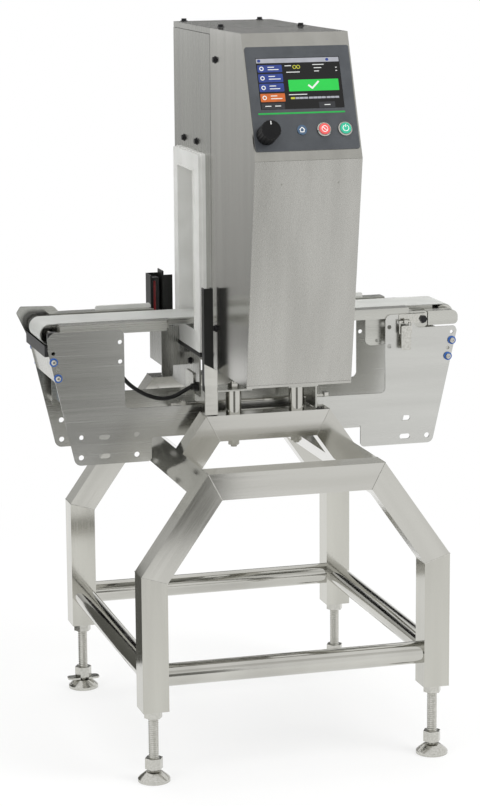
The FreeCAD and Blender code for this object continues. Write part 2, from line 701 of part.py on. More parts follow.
def latch_lever():
    """A folded lever that hangs from its pin, astride the base's cheeks."""
    y, z = LATCH_PIVOT
    bail_y, bail_z = BAIL_PIVOT
    face = prism(rectangle((290, 310), (747, z + 5), 3), "xz", (y - 5.5, y - 4))
    cheek = prism([(y - 5, z + 3), (y - 5, 757), (bail_y + 3, bail_z - 3, 2), (y + 3, z + 3, 2)], "yz", (290, 291.5))
    lever = joined(face, cheek, cheek.translated(V(18.5, 0, 0)))
    for (hole_y, hole_z) in (LATCH_PIVOT, BAIL_PIVOT):
        lever = lever.cut(rod(V(289, hole_y, hole_z), X_AXIS, 1.5 + FIT, 22))
    return lever


def latch_bail():
    """A wire loop outside the lever, its bent ends in the lever's cheeks, up to the hook."""
    y, z = BAIL_PIVOT
    half = 1.2
    legs = [box((x - half, x + half), (y - half, y + half), (z - half, 804.4)) for x in (288, 312)]
    ends = [rod(V(x, y, z), X_AXIS, 1.5, 4) for x in (287.5, 308.5)]
    bar = box((288 - half, 312 + half), (y - half, y + half), (802, 804.4))
    return joined(*legs, *ends, bar)


# ---------------------------------------------------------------- sensors and cable

def front_sensor_post():
    """An upright channel in front of the belt, open toward it."""
    outer = box((-124, -106), (-134, -117), (700, 897))
    return outer.cut(box((-122, -108), (-132, -116), (699, 898)))


def front_sensor_foot():
    """The polished angle that holds the post, fixed to the left head bracket."""
    face = prism([(-124, 655), (-HEAD_X, 655), (-HEAD_X, 740), (-124, 753)], "xz", (-137, -134))
    side = box((-103, -HEAD_X), (-137, -80), (655, 735))
    return joined(face, side)


def rear_sensor_channel():
    """The channel behind the belt that shields the sensor, with a flange toward the head."""
    outer = box((-157, -130), (150, 190), (790, 884))
    channel = outer.cut(box((-154.5, -132.5), (149, 187.5), (789, 885)))
    wall = box((-132.5, -130), (150, 190), (790, 892))
    flange = box((-132, -112), (150, 152.5), (790, 884))
    return joined(channel, wall, flange)


def photo_sensors():
    """A lit sensor in each channel, facing across the belt."""
    front = box((-121.5, -108.5), (-131.5, -119), (840, 880))
    rear = box((-151, -137), (160, 187), (795, 878))
    return group(front, rear)


def sensor_mount_box():
    """A split box on the head's base with a rounded dark cover plate."""
    low = box((-150, -HEAD_X), (94, 190), (712, 737))
    low = low.cut(box((-147.5, -HEAD_X - 2.5), (96.5, 187.5), (714.5, 734.5)))
    high = box((-150, -115), (94, 190), (737, 790))
    high = high.cut(box((-147.5, -117.5), (96.5, 187.5), (739.5, 787.5)))
    cover = prism(rectangle((-151, -128), (690, 793), 6), "xz", (90.5, 94))
    return group(low, high, cover)


CABLE_R = 4.0
CABLE_ROUTE = [
    V(-288, 6, 741), V(-270, 7, 735), V(-255, 8.5, 718), V(-242, 10, 700), V(-225, 10, 685),
    V(-201, 10, 670.5), V(-173, 10, 662), V(-149, 12, 664), V(-128, 13.5, 674), V(-112, 14, 682),
]


def tube_along(points, radius):
    """A round tube on straight runs joined by arcs as large as the runs allow."""
    radii = [0.0]
    for before, point, after in zip(points, points[1:], points[2:]):
        back, ahead = before - point, after - point
        turn = math.pi - back.getAngle(ahead)
        radii.append(0.45 * min(back.Length, ahead.Length) / math.tan(turn / 2))
    radii.append(0.0)
    path = Part.Wire(rounded_edges(points, radii, False))
    start = Part.Circle(points[0], points[1] - points[0], radius).toShape()
    print("cable bend radii", [round(value) for value in radii[1:-1]])
    tube = path.makePipeShell([Part.Wire(start)], True, True)
    print("cable volume", round(tube.Volume), "expected", round(math.pi * radius ** 2 * path.Length))
    return tube


def motor_cable():
    return tube_along(CABLE_ROUTE, CABLE_R)


def cable_glands():
    """A gland at each end of the motor's cable, on the terminal box and on the head's base."""
    glands = []
    for end, away in ((CABLE_ROUTE[0], V(-1, 0, 0)), (CABLE_ROUTE[-1], X_AXIS)):
        nut = hexagon(end + away * 7, away, 16, 5)
        body = rod(end, away, 6.5, 7)
        glands.append(joined(nut, body))
    return group(*glands)


# ---------------------------------------------------------------- detector head

def tunnel_block(x, grow, low=0.0, high=0.0):
    """A block the size of the tunnel, grown or shrunk by an amount on its four sides."""
    half = TUNNEL_HALF + grow
    return box(x, (TUNNEL_Y - half, TUNNEL_Y + half), (TUNNEL_LOW - grow - low, TUNNEL_HIGH + grow + high))


def coil_housing():
    """A closed steel case, pierced from side to side by the tunnel."""
    wall = 3.0
    case = box((-HEAD_X, HEAD_X), (COIL_FRONT, COIL_REAR), (HEAD_BOTTOM, COIL_TOP))
    room = box((wall - HEAD_X, HEAD_X - wall), (COIL_FRONT + wall, COIL_REAR - wall), (HEAD_BOTTOM + wall, COIL_TOP - wall))
    return case.cut(room).cut(tunnel_block((-HEAD_X - 1, HEAD_X + 1), 0))


def coil_housing_cap():
    lid = prism(rectangle((-HEAD_X, HEAD_X), (COIL_FRONT, COIL_REAR), 2), "xy", (COIL_TOP + 1, CAP_TOP))
    room = box((2 - HEAD_X, HEAD_X - 2), (COIL_FRONT + 2, COIL_REAR - 2), (COIL_TOP + 3, CAP_TOP - 2))
    return lid.cut(room)


def tunnel_flanges():
    """Two plastic collars on each side, one on the other, round the tunnel's mouth."""
    layers = [((HEAD_X, 107.0), 1.5), ((107.0, 113.5), 0.0)]
    collars = []
    for x, grow in layers:
        sheet = prism(rectangle((-65 - grow, 125 + grow), (762 - grow, 1142 + grow), 6), "yz", x)
        collars.append(sheet.cut(tunnel_block((x[0] - 1, x[1] + 1), 0)))
    return both_ends(group(*collars))


def tunnel_liner():
    """The plastic tube through the head that the belt runs in."""
    return tunnel_block((-115.5, 115.5), 0).cut(tunnel_block((-117, 117), -LINER))


def search_coils():
    """The middle transmitting coil and the two receiving coils, wound round the tunnel."""
    coils = []
    for x in (-62, -5, 52):
        coils.append(tunnel_block((x, x + 10), 14).cut(tunnel_block((x - 1, x + 11), 6)))
    return group(*coils)


def control_profile(inset):
    """The side view of the control housing, moved in by a distance."""
    lean = (COVER_FOOT[0] - VISOR[0]) / (VISOR[1] - COVER_FOOT[1])
    foot_y = COVER_FOOT[0] + lean * (COVER_FOOT[1] - HEAD_BOTTOM)
    loop = [V(CONTROL_REAR, HEAD_BOTTOM, 0), V(CONTROL_REAR, CAP_TOP, 0), V(*PANEL_TOP, 0), V(*VISOR, 0), V(foot_y, HEAD_BOTTOM, 0)]
    path = offset_path([loop[-1]] + loop + [loop[0]], inset)
    return [(point.x, point.y) for point in path[1:-1]]


def cover_slab(inset):
    """The sheet between the visor edge and the foot of the housing."""
    down = (V(*COVER_FOOT, 0) - V(*VISOR, 0)).normalize()
    start = V(*VISOR, 0) + down * inset
    end = V(*COVER_FOOT, 0) - down * inset
    inward = V(-down.y, down.x, 0)
    if inward.x < 0:
        inward = inward * -1
    corners = [start, end, end + inward * SHEET, start + inward * SHEET]
    return [(corner.x, corner.y) for corner in corners]


def panel_hole(x, s, radius):
    hole = rod(V(x, -s, -6), Z_AXIS, radius, 12)
    hole.Placement = PANEL.multiply(hole.Placement)
    return hole


def on_panel(shape):
    """A shape drawn flat, x along the panel and -y down it, set on the sloped panel."""
    moved = shape.copy()
    moved.Placement = PANEL.multiply(moved.Placement)
    return moved


def control_housing():
    """The folded case in front: roof, sides, sloped panel and floor, open behind the front cover."""
    case = prism(control_profile(0), "yz", (-HEAD_X, HEAD_X))
    room = prism(control_profile(SHEET), "yz", (SHEET - HEAD_X, HEAD_X - SHEET))
    case = case.cut(room).cut(prism(cover_slab(-0.2), "yz", (-HEAD_X - 1, HEAD_X + 1)))
    x0, x1, s0, s1 = SCREEN
    case = case.cut(on_panel(box((x0 + 3, x1 - 3), (3 - s1, -s0 - 3), (-6, 6))))
    for (x, s), radius in ((KNOB, 3.4), (STOP, CAP_R + 0.4), (START, CAP_R + 0.4)):
        case = case.cut(panel_hole(x, s, radius))
    spacer = box((-HEAD_X + 3, HEAD_X - 3), (CONTROL_REAR, COIL_FRONT), (HEAD_BOTTOM + 4, COIL_TOP - 4))
    return joined(case, spacer)


def front_cover():
    """The flat sheet under the visor edge, with two small studs near its top."""
    sheet = prism(cover_slab(0.2), "yz", (-HEAD_X, HEAD_X))
    down = (V(0, *COVER_FOOT) - V(0, *VISOR)).normalize()
    outward = V(0, down.z, -down.y)
    studs = []
    for x in (-48, 58):
        point = V(x, *VISOR) + down * 44 - outward * 0.5
        studs.append(rod(point, outward, 2, 2.0))
    return joined(sheet, *studs)


def display_bezel():
    """The dark panel overlay with its window and the holes for the controls."""
    x0, x1, s0, s1 = BEZEL
    plate = prism(rectangle((x0, x1), (-s1, -s0), 4), "xy", (0, BEZEL_THICK))
    x0, x1, s0, s1 = SCREEN
    plate = plate.cut(box((x0, x1), (-s1, -s0), (-1, 5)))
    for (x, s), radius in ((KNOB, 3.4), (HOME, 9.3), (STOP, CAP_R + 0.4), (START, CAP_R + 0.4)):
        plate = plate.cut(rod(V(x, -s, -1), Z_AXIS, radius, 5))
    return on_panel(plate)


def display_screen():
    """The glass in the overlay's window and the module behind it."""
    x0, x1, s0, s1 = SCREEN
    glass = box((x0 + 0.1, x1 - 0.1), (0.1 - s1, -s0 - 0.1), (0, 1.4))
    module = box((x0 + 3.5, x1 - 3.5), (3.5 - s1, -s0 - 3.5), (-18, 0))
    return on_panel(joined(glass, module))


def rotary_knob():
    """A knurled knob on its shaft."""
    x, s = KNOB
    low = rod(V(x, -s, BEZEL_THICK + 0.6), Z_AXIS, KNOB_R, KNOB_HEIGHT - BEZEL_THICK - 2.6)
    top = Part.makeCone(KNOB_R, KNOB_R - 1.6, 2, V(x, -s, KNOB_HEIGHT - 2), Z_AXIS)
    knob = joined(low, top)
    grooves = []
    for i in range(18):
        angle = 2 * math.pi * i / 18
        spot = V(x + (KNOB_R + 0.8) * math.cos(angle), -s + (KNOB_R + 0.8) * math.sin(angle), 6)
        grooves.append(rod(spot, Z_AXIS, 1.8, KNOB_HEIGHT))
    knob = knob.cut(Part.makeCompound(grooves))
    shaft = rod(V(x, -s, -12), Z_AXIS, 3, BEZEL_THICK + 13)
    return on_panel(joined(knob, shaft))


def home_key():
    x, s = HOME
    return on_panel(rod(V(x, -s, 0.8), Z_AXIS, 9, 2.4))


def push_button(x, s):
    """A round cap with a softened edge on a short stem."""
    skirt = rod(V(x, -s, -5), Z_AXIS, CAP_R, 11.4)
    crown = Part.makeCone(CAP_R, CAP_R - 1.2, 1, V(x, -s, 6.4), Z_AXIS)
    stem = rod(V(x, -s, -16), Z_AXIS, 4, 11)
    return on_panel(joined(skirt, crown, stem))


def stop_button():
    return push_button(*STOP)


def start_button():
    return push_button(*START)


def button_rings():
    rings = []
    for x, s in (STOP, START):
        collar = rod(V(x, -s, BEZEL_THICK), Z_AXIS, RING_R, 2.6)
        edge = Part.makeCone(RING_R, RING_R - 1, 1, V(x, -s, BEZEL_THICK + 2.6), Z_AXIS)
        rings.append(on_panel(joined(collar, edge).cut(rod(V(x, -s, 0), Z_AXIS, CAP_R + 0.4, 10))))
    return group(*rings)


def control_electronics():
    """The display board behind the panel, the main board and the power supply."""
    display_board = on_panel(box((-85, 85), (-160, -40), (-26, -23)))
    back = CONTROL_REAR - SHEET
    main_board = box((-80, 80), (back - 12, back - 10), (1010, 1300))
    supply = box((-70, 70), (back - 55, back), (800, 960))
    posts = [rod(V(x, back - 10, z), Y_AXIS, 3, 10) for x in (-74, 74) for z in (1016, 1294)]
    return group(display_board, joined(main_board, *posts), supply)


SIDE_BOLTS = [(-144, 1325), (90, 1161), (-4, 1162), (-130, 820)]
BASE_BOLTS = [(59, 726), (217, 726)]
TOP_BOLTS = [(-81, 155), (-72, -83), (71, 149), (81, -93)]


def flanged_bolt(point, axis):
    """A hex bolt with a flange under its head, its short shank sunk in the wall."""
    flange = rod(point, axis, 7, 1.4)
    return joined(flange, hexagon(point + axis * 1.4, axis, 9, 4))


def hex_bolts():
    bolts = []
    for y, z in SIDE_BOLTS + BASE_BOLTS:
        for side in (-1, 1):
            bolts.append(flanged_bolt(V(side * HEAD_X, y, z), V(side, 0, 0)))
    for x, y in TOP_BOLTS:
        bolts.append(flanged_bolt(V(x, y, CAP_TOP), Z_AXIS))
    front = FRONT_PLATE_Y + PLATE
    shank = rod(V(339, front - 4.5, 805), Y_AXIS, 4, 33.5)
    washer = rod(V(339, front - 3, 805), Y_AXIS, 9, 3)
    pin = joined(shank, washer, hexagon(V(339, front - 9.5, 805), Y_AXIS, 13, 5))
    bolts += [pin, other_edge(pin)]
    return group(*bolts)


SUBPARTS = [
    stand_legs, stand_diagonals, stand_cross_bars, stand_rails, leg_end_nuts,
    foot_front_left, foot_front_right, foot_rear_left, foot_rear_right,
    head_standoffs, standoff_studs, head_mount_brackets, base_frame, rubber_seals, locating_rod,
    conveyor_front_plate, conveyor_rear_plate, conveyor_brackets, end_crossplates, seal_washers, seal_screws,
    belt_bed, bed_side_members, belt_guides, conveyor_belt,
    drive_roller, drive_bearings, tail_roller, tail_axle, tail_arms, scraper_bar,
    gearmotor, motor_pulley, timing_belt,
    latch_base, latch_lever, latch_bail,
    front_sensor_post, front_sensor_foot, rear_sensor_channel, photo_sensors, sensor_mount_box,
    motor_cable, cable_glands,
    coil_housing, coil_housing_cap, tunnel_flanges, tunnel_liner, search_coils,
    control_housing, front_cover, display_bezel, display_screen,
    rotary_knob, home_key, stop_button, start_button, button_rings, control_electronics, hex_bolts,
]


def main():
    os.makedirs("parts", exist_ok=True)
    shapes = {make.__name__: make() for make in SUBPARTS}
    whole = Part.makeCompound(list(shapes.values())).optimalBoundingBox()
    origin = V((whole.XMin + whole.XMax) / 2, (whole.YMin + whole.YMax) / 2, whole.ZMin)
    print("origin on the stand", origin, "size", whole.XLength, whole.YLength, whole.ZLength)
    for name, shape in shapes.items():
        if not shape.isValid() or not shape.Solids:
            print("invalid", name)
        shape.translate(origin * -1)
        shape.exportStep("parts/" + name + ".step")


main()
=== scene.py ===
import math

import bpy
from mathutils import Matrix, Vector


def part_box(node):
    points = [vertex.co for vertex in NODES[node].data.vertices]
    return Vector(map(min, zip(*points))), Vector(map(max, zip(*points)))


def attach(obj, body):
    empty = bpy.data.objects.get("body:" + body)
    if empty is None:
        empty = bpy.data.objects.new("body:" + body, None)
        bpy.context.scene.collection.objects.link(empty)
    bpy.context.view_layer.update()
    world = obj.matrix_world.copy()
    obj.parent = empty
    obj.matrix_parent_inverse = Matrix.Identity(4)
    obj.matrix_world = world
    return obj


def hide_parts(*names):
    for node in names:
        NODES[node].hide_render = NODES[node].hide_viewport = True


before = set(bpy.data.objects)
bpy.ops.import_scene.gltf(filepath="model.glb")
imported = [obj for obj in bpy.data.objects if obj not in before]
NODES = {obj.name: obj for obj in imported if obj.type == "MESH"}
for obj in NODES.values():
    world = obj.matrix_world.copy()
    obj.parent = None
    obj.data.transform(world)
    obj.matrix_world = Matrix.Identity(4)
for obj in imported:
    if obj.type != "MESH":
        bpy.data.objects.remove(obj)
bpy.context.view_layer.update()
MM = 0.001

# The stand's middle on the floor. Places are given in millimetres from it, as a drawing would.
stand_low, stand_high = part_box("stand_legs")
MIDDLE = Vector(((stand_low.x + stand_high.x) / 2, (stand_low.y + stand_high.y) / 2, 0))


def at(x, y, z):
    return MIDDLE + Vector((x, y, z)) * MM


# ---------------------------------------------------------------- camera

CAMERA_PLACE = at(-1381, -4840, 1645)
# The camera's turn about Z, its dip below level and its slight lean, and its lens in millimetres.
AZIMUTH = math.radians(-15.74)
ELEVATION = math.radians(11.23)
ROLL = math.radians(-0.43)
LENS = 117.0


def add_camera():
    data = bpy.data.cameras.new("camera")
    data.lens = LENS
    camera = bpy.data.objects.new("camera", data)
    turn = Matrix.Rotation(AZIMUTH, 4, "Z") @ Matrix.Rotation(math.pi / 2 - ELEVATION, 4, "X")
    camera.matrix_world = Matrix.Translation(CAMERA_PLACE) @ turn @ Matrix.Rotation(ROLL, 4, "Z")
    bpy.context.scene.collection.objects.link(camera)
    bpy.context.scene.camera = camera


add_camera()
bpy.context.scene.view_settings.view_transform = "Standard"


# ---------------------------------------------------------------- material tools

def srgb(code):
    """A hex sRGB colour as linear red, green, blue, alpha."""
    parts = [int(code[i:i + 2], 16) / 255 for i in (0, 2, 4)]
    return tuple(c / 12.92 if c <= 0.04045 else ((c + 0.055) / 1.055) ** 2.4 for c in parts) + (1.0,)


def add(tree, kind, settings=(), links=()):
    """Adds a shader node with its settings and its links; inputs go by their name or number."""
    made = tree.nodes.new("ShaderNode" + kind)
    for name, value in dict(settings).items():
        if isinstance(name, int) or name in made.inputs:
            made.inputs[name].default_value = value
        else:
            setattr(made, name, value)
    for name, socket in dict(links).items():
        tree.links.new(socket, made.inputs[name])
    return made


def new_material(name):
    material = bpy.data.materials.new(name)
    material.use_nodes = True
    tree = material.node_tree
    tree.nodes.clear()
    return material, tree


def surface_pattern(tree, sizes, detail, mirrored=False, turn=0.0):
    """Noise whose grains measure the given millimetres along X, Y and Z.  A mirrored pattern is alike
    on both sides of the stand's middle, and a turned one leans about Y."""
    coords = add(tree, "TexCoord").outputs["Object"]
    if mirrored:
        centred = add(tree, "VectorMath", {"operation": "SUBTRACT", 1: MIDDLE}, {0: coords})
        coords = add(tree, "VectorMath", {"operation": "ABSOLUTE"}, {0: centred.outputs[0]}).outputs[0]
    if turn:
        coords = add(tree, "Mapping", {"Rotation": (0, turn, 0)}, {"Vector": coords}).outputs[0]
    scale = [1 / (size * MM) for size in sizes]
    mapping = add(tree, "Mapping", {"Scale": scale}, {"Vector": coords})
    return add(tree, "TexNoise", {"Scale": 1.0, "Detail": detail}, {"Vector": mapping.outputs[0]}).outputs[0]


# Noise keeps to the middle of 0..1, so that part is stretched over the two ends of a finish.
NOISE_RANGE = {"From Min": 0.3, "From Max": 0.7}


def finish_surface(tree, tones, shade, rough, gloss, relief, height, settings):
    """Ends a material: shade runs between two tones, gloss between two roughnesses, and height is the
    relief, given as its strength and its depth in millimetres."""
    share = add(tree, "MapRange", {**NOISE_RANGE, "To Min": 0.0, "To Max": 1.0}, {"Value": shade})
    colours = {"data_type": "RGBA", 6: srgb(tones[0]), 7: srgb(tones[1])}
    tone = add(tree, "Mix", colours, {0: share.outputs[0]})
    roughness = add(tree, "MapRange", {**NOISE_RANGE, "To Min": rough[0], "To Max": rough[1]}, {"Value": gloss})
    bump = add(tree, "Bump", {"Strength": relief[0], "Distance": relief[1] * MM}, {"Height": height})
    shader = add(tree, "BsdfPrincipled", settings, {
        "Base Color": tone.outputs[2],
        "Roughness": roughness.outputs[0],
        "Normal": bump.outputs[0],
    })
    add(tree, "OutputMaterial", links={"Surface": shader.outputs[0]})


LINE_SHARE = 0.9            # how much of ground steel's gloss follows its lines; broad bands give the rest
BAND_WIDTHS = 30            # how many lines wide a band is
BAND_LENGTHS = 2            # and how many lines long
LINE_DEPTH = 0.1            # millimetres
METAL_RELIEF = (0.1, 0.05)  # strength, and depth in millimetres
POLYMER_DEPTH = 0.05        # millimetres
WIDEST_LINE = 20.0          # millimetres: a larger grain size is a line's length


def ground_steel(name, dark, light, rough, grain, mirrored=False, turn=0.0, bump=0.012):
    """Austenitic stainless steel, ground and brushed along one direction: a soft metallic sheen
    with long faint lines.  The lines are 0.1 mm wide on the real sheet and are drawn coarser to show."""
    material, tree = new_material(name)
    lines = surface_pattern(tree, grain, 3.0, mirrored, turn)
    bands = [size * (BAND_WIDTHS if size < WIDEST_LINE else BAND_LENGTHS) for size in grain]
    broad = surface_pattern(tree, bands, 2.0, mirrored, turn)
    gloss = add(tree, "Mix", {0: LINE_SHARE}, {2: broad, 3: lines}).outputs[0]
    finish_surface(tree, (dark, light), broad, rough, gloss, (bump, LINE_DEPTH), lines, {"Metallic": 1.0})
    return material


def turned_metal(name, dark, light, rough, metallic=1.0, grain=4.0):
    """A metal with an even, lightly mottled finish: turned, plated, cast or blackened."""
    material, tree = new_material(name)
    mottle = surface_pattern(tree, [grain] * 3, 3.0)
    finish_surface(tree, (dark, light), mottle, rough, mottle, METAL_RELIEF, mottle, {"Metallic": metallic})
    return material


def plastic(name, dark, light, rough, grit=0.6, bump=0.15, coat=0.0, specular=0.5):
    """A moulded, milled or printed polymer, or glass: fine texture in millimetres and a soft sheen.
    All of these have an IOR of 1.4 to 1.6, so they keep the shader's 1.5."""
    material, tree = new_material(name)
    texture = surface_pattern(tree, [grit] * 3, 2.0)
    shade = surface_pattern(tree, [grit * 60] * 3, 2.0)
    settings = {"Coat Weight": coat, "Specular IOR Level": specular}
    finish_surface(tree, (dark, light), shade, rough, texture, (bump, POLYMER_DEPTH), texture, settings)
    return material


def backlit(name, code, strength, dim=0.7, cell=14.0):
    """A lit area of a liquid crystal display: even light that falls off slightly across its cells,
    whose size is in millimetres."""
    material, tree = new_material(name)
    shade = surface_pattern(tree, [cell] * 3, 1.0)
    level = add(tree, "MapRange", {**NOISE_RANGE, "To Min": dim, "To Max": 1.0}, {"Value": shade})
    tint = add(tree, "VectorMath", {"operation": "SCALE", 0: srgb(code)[:3]}, {"Scale": level.outputs[0]})
    settings = {"Base Color": srgb("191919"), "Roughness": 0.25, "Emission Strength": strength}
    shader = add(tree, "BsdfPrincipled", settings, {"Emission Color": tint.outputs[0]})
    add(tree, "OutputMaterial", links={"Surface": shader.outputs[0]})
    return material


# ---------------------------------------------------------------- materials of the machine

# Grain sizes in millimetres along X, Y and Z.  The grinding lines are 0.1 mm wide on the real
# steel and are drawn as wide as they need to show.
UPRIGHT_TUBE = (1.6, 1.6, 260)
LEVEL_TUBE = (260, 1.6, 1.6)
UPRIGHT_SHEET = (1.2, 1.2, 300)
LEVEL_SHEET = (300, 1.2, 1.2)
FOLDED_GRAIN = (200, 1.2, 1.2)
POLISH_GRAIN = (60, 60, 3)
TUBE_ROUGH = (0.09, 0.16)

# Stainless tube, belt-ground along the leg: streaked but sharp reflections that run up and down.
STEEL_LEGS = ground_steel("ground_stainless_upright", "B8B7B0", "C4C3BC", TUBE_ROUGH, UPRIGHT_TUBE)
# The same tube laid level: its streaks run across, and its two tones are lighter than the legs', which is
# painted light on the same steel.
STEEL_BARS_PAINTED_LIGHTER = ground_steel("ground_stainless_level_painted_lighter", "BEBDB7", "CBCAC5", TUBE_ROUGH, LEVEL_TUBE)
# The same tube on the slant: its streaks follow the slope on either side, and its two tones are a little
# lighter than the legs', which is painted light on the same steel.
STEEL_DIAGONALS_PAINTED_LIGHTER = ground_steel("ground_stainless_slanted_painted_lighter", "BAB9B3", "C8C7C1", TUBE_ROUGH, LEVEL_TUBE,
                               mirrored=True, turn=math.radians(-55))
# Stainless tube, mechanically polished: almost a mirror, with dark and light bands along it.
POLISHED_TUBE = ground_steel("polished_stainless_tube", "B9B8B2", "C8C7C1", (0.07, 0.14), POLISH_GRAIN,
                             bump=0.02)
# Cold-rolled stainless sheet, satin-brushed upright: it mirrors softly, as a smooth vertical sheen.
HEAD_SHEET = ground_steel("brushed_stainless_housing", "B0AFAA", "BBBAB5", (0.13, 0.20), UPRIGHT_SHEET)
# The same sheet folded into the front cover: duller, so that it shows an even grey.
COVER_SHEET = ground_steel("brushed_stainless_cover", "B0AFAA", "BBBAB5", (0.22, 0.32), UPRIGHT_SHEET)
# The same sheet round the coils, welded and brushed again, and the most even of the sheets; its tones are the
# darkest of them, which is painted shade on the same steel.
COIL_CASE_PAINTED_SHADE = ground_steel("brushed_stainless_case_painted_shade", "A8A8A4", "B2B2AD", (0.22, 0.30), UPRIGHT_SHEET)
# Laser-cut stainless plate, brushed along the conveyor: a pale face with level streaks.
SIDE_SHEET = ground_steel("brushed_stainless_plate", "BFBFBB", "CACAC6", (0.20, 0.28), LEVEL_SHEET)
# Thin stainless sheet, lightly brushed and folded: a dull grey with level streaks.
FOLDED_SHEET = ground_steel("folded_stainless_sheet", "B6B6B0", "C4C4BE", (0.24, 0.34), FOLDED_GRAIN)
# Stainless bar, turned and milled: small bright highlights on every edge.
BRIGHT_STEEL = turned_metal("turned_stainless", "B8B7B1", "CCCBC5", (0.12, 0.24))
# Steel screws, black oxide finish: nearly black with a dim oily glint.
BLACK_BOLT = turned_metal("black_oxide_steel", "16161A", "2B2B2C", (0.28, 0.45), metallic=0.6)
# Aluminium, machined: pale and slightly blue beside the steel.
ALUMINIUM = turned_metal("machined_aluminium", "B7B9BA", "CACCCC", (0.28, 0.4))
# Copper wire under clear enamel, wound: orange-brown with a soft shine.
COPPER = turned_metal("enamelled_copper_wire", "9A4E22", "B9652F", (0.3, 0.45), grain=2.0)
# Cast motor housing, sprayed with enamel: a flat mid grey, with no metal showing.
MOTOR_GREY = turned_metal("grey_motor_enamel", "5E6468", "6E7478", (0.4, 0.55), metallic=0.0, grain=6.0)
# Acetal sheet, milled: off-white with a silky cut surface.
WHITE_PLASTIC = plastic("milled_white_acetal", "D4D4D0", "E0E0DD", (0.38, 0.5), 0.8)
# Polyurethane belt, calendered on a woven carrier: matt white with a fine even grain.
BELT_WHITE = plastic("white_urethane_belt", "B7B8B4", "C2C3BF", (0.36, 0.48), 1.2, 0.25)
# ABS, moulded: black with a soft sheen.
BLACK_PLASTIC = plastic("moulded_black_abs", "101011", "1B1B1C", (0.35, 0.5), 0.5)
# Rubber grip, moulded: the deepest black, because it hardly mirrors the room.
KNOB_PLASTIC = plastic("moulded_rubber_grip", "08080A", "0F0F10", (0.42, 0.6), 0.4, specular=0.25)
# Steel, powder-coated: black with a fine orange-peel surface.
BLACK_PAINT = plastic("black_powder_coat", "121312", "1B1C1A", (0.34, 0.5), 0.7, 0.3, specular=0.35)
# Nitrile rubber, moulded: dull black.
RUBBER = plastic("black_nitrile_rubber", "131312", "1D1D1B", (0.55, 0.7), 0.5)
# PVC sheath, extruded: black, with a long soft highlight along the cable.
CABLE_PVC = plastic("black_pvc_sheath", "0E0E0E", "191918", (0.4, 0.55), 1.5)
# Silicone, moulded: a clear food-grade blue with a slight shine.
BLUE_SEAL = plastic("moulded_blue_silicone", "1F4F9E", "2F66B4", (0.35, 0.5), 0.5)
# Polyester film, printed from behind: an even dark grey with a smooth sheen.
OVERLAY = plastic("printed_polyester_film", "3C3F43", "46494D", (0.30, 0.40), 0.5, 0.08)
# Display glass, float-made, over a dark display: black and sharply reflecting.
SCREEN_GLASS = plastic("black_display_glass", "040405", "070708", (0.06, 0.1), 2.0, 0.0)
# Acrylic button caps, moulded and polished: full colour under a clear shine.
RED_CAP = plastic("moulded_red_acrylic", "D34A4B", "DE5A58", (0.2, 0.32), 0.6, 0.05, 0.4)
TEAL_CAP = plastic("moulded_teal_acrylic", "1FA583", "2AB591", (0.2, 0.32), 0.6, 0.05, 0.4)
BLUE_CAP = plastic("moulded_grey_blue_acrylic", "39506A", "476077", (0.25, 0.38), 0.6, 0.05, 0.3)
# Ink, screen-printed: flat white.
WHITE_INK = plastic("screen_printed_white_ink", "E4E4E2", "EFEFED", (0.4, 0.5), 0.3, 0.0)
# Circuit board under green solder mask: satin green.
GREEN_BOARD = plastic("green_solder_mask", "1B5A33", "23693D", (0.3, 0.45), 0.6)
# Areas of the display, each lit from behind through its own colour: even and without gloss.
LIT_SILVER = backlit("backlit_silver", "B9BBC4", 0.9, 0.85)
LIT_BLUE = backlit("backlit_blue", "24439E", 0.85, 0.7, 9.0)
LIT_DARK = backlit("backlit_dark_grey", "25272C", 0.9, 0.8)
LIT_ORANGE = backlit("backlit_orange", "D96A1C", 0.95, 0.75, 9.0)
LIT_GREEN = backlit("backlit_green", "0FD047", 1.0, 0.95)
LIT_WHITE = backlit("backlit_white", "F2F4F2", 1.0, 0.95)
LIT_YELLOW = backlit("backlit_yellow", "C9C93A", 1.0, 0.95)
# A light guide under the film, below the display: one thin green line.
LIT_LINE = backlit("green_light_guide", "17B24A", 1.0, 0.85)
# Red acrylic window over a sensor's lamp: a deep red that glows faintly.
RED_LENS = backlit("red_acrylic_window", "8A0F16", 0.35)

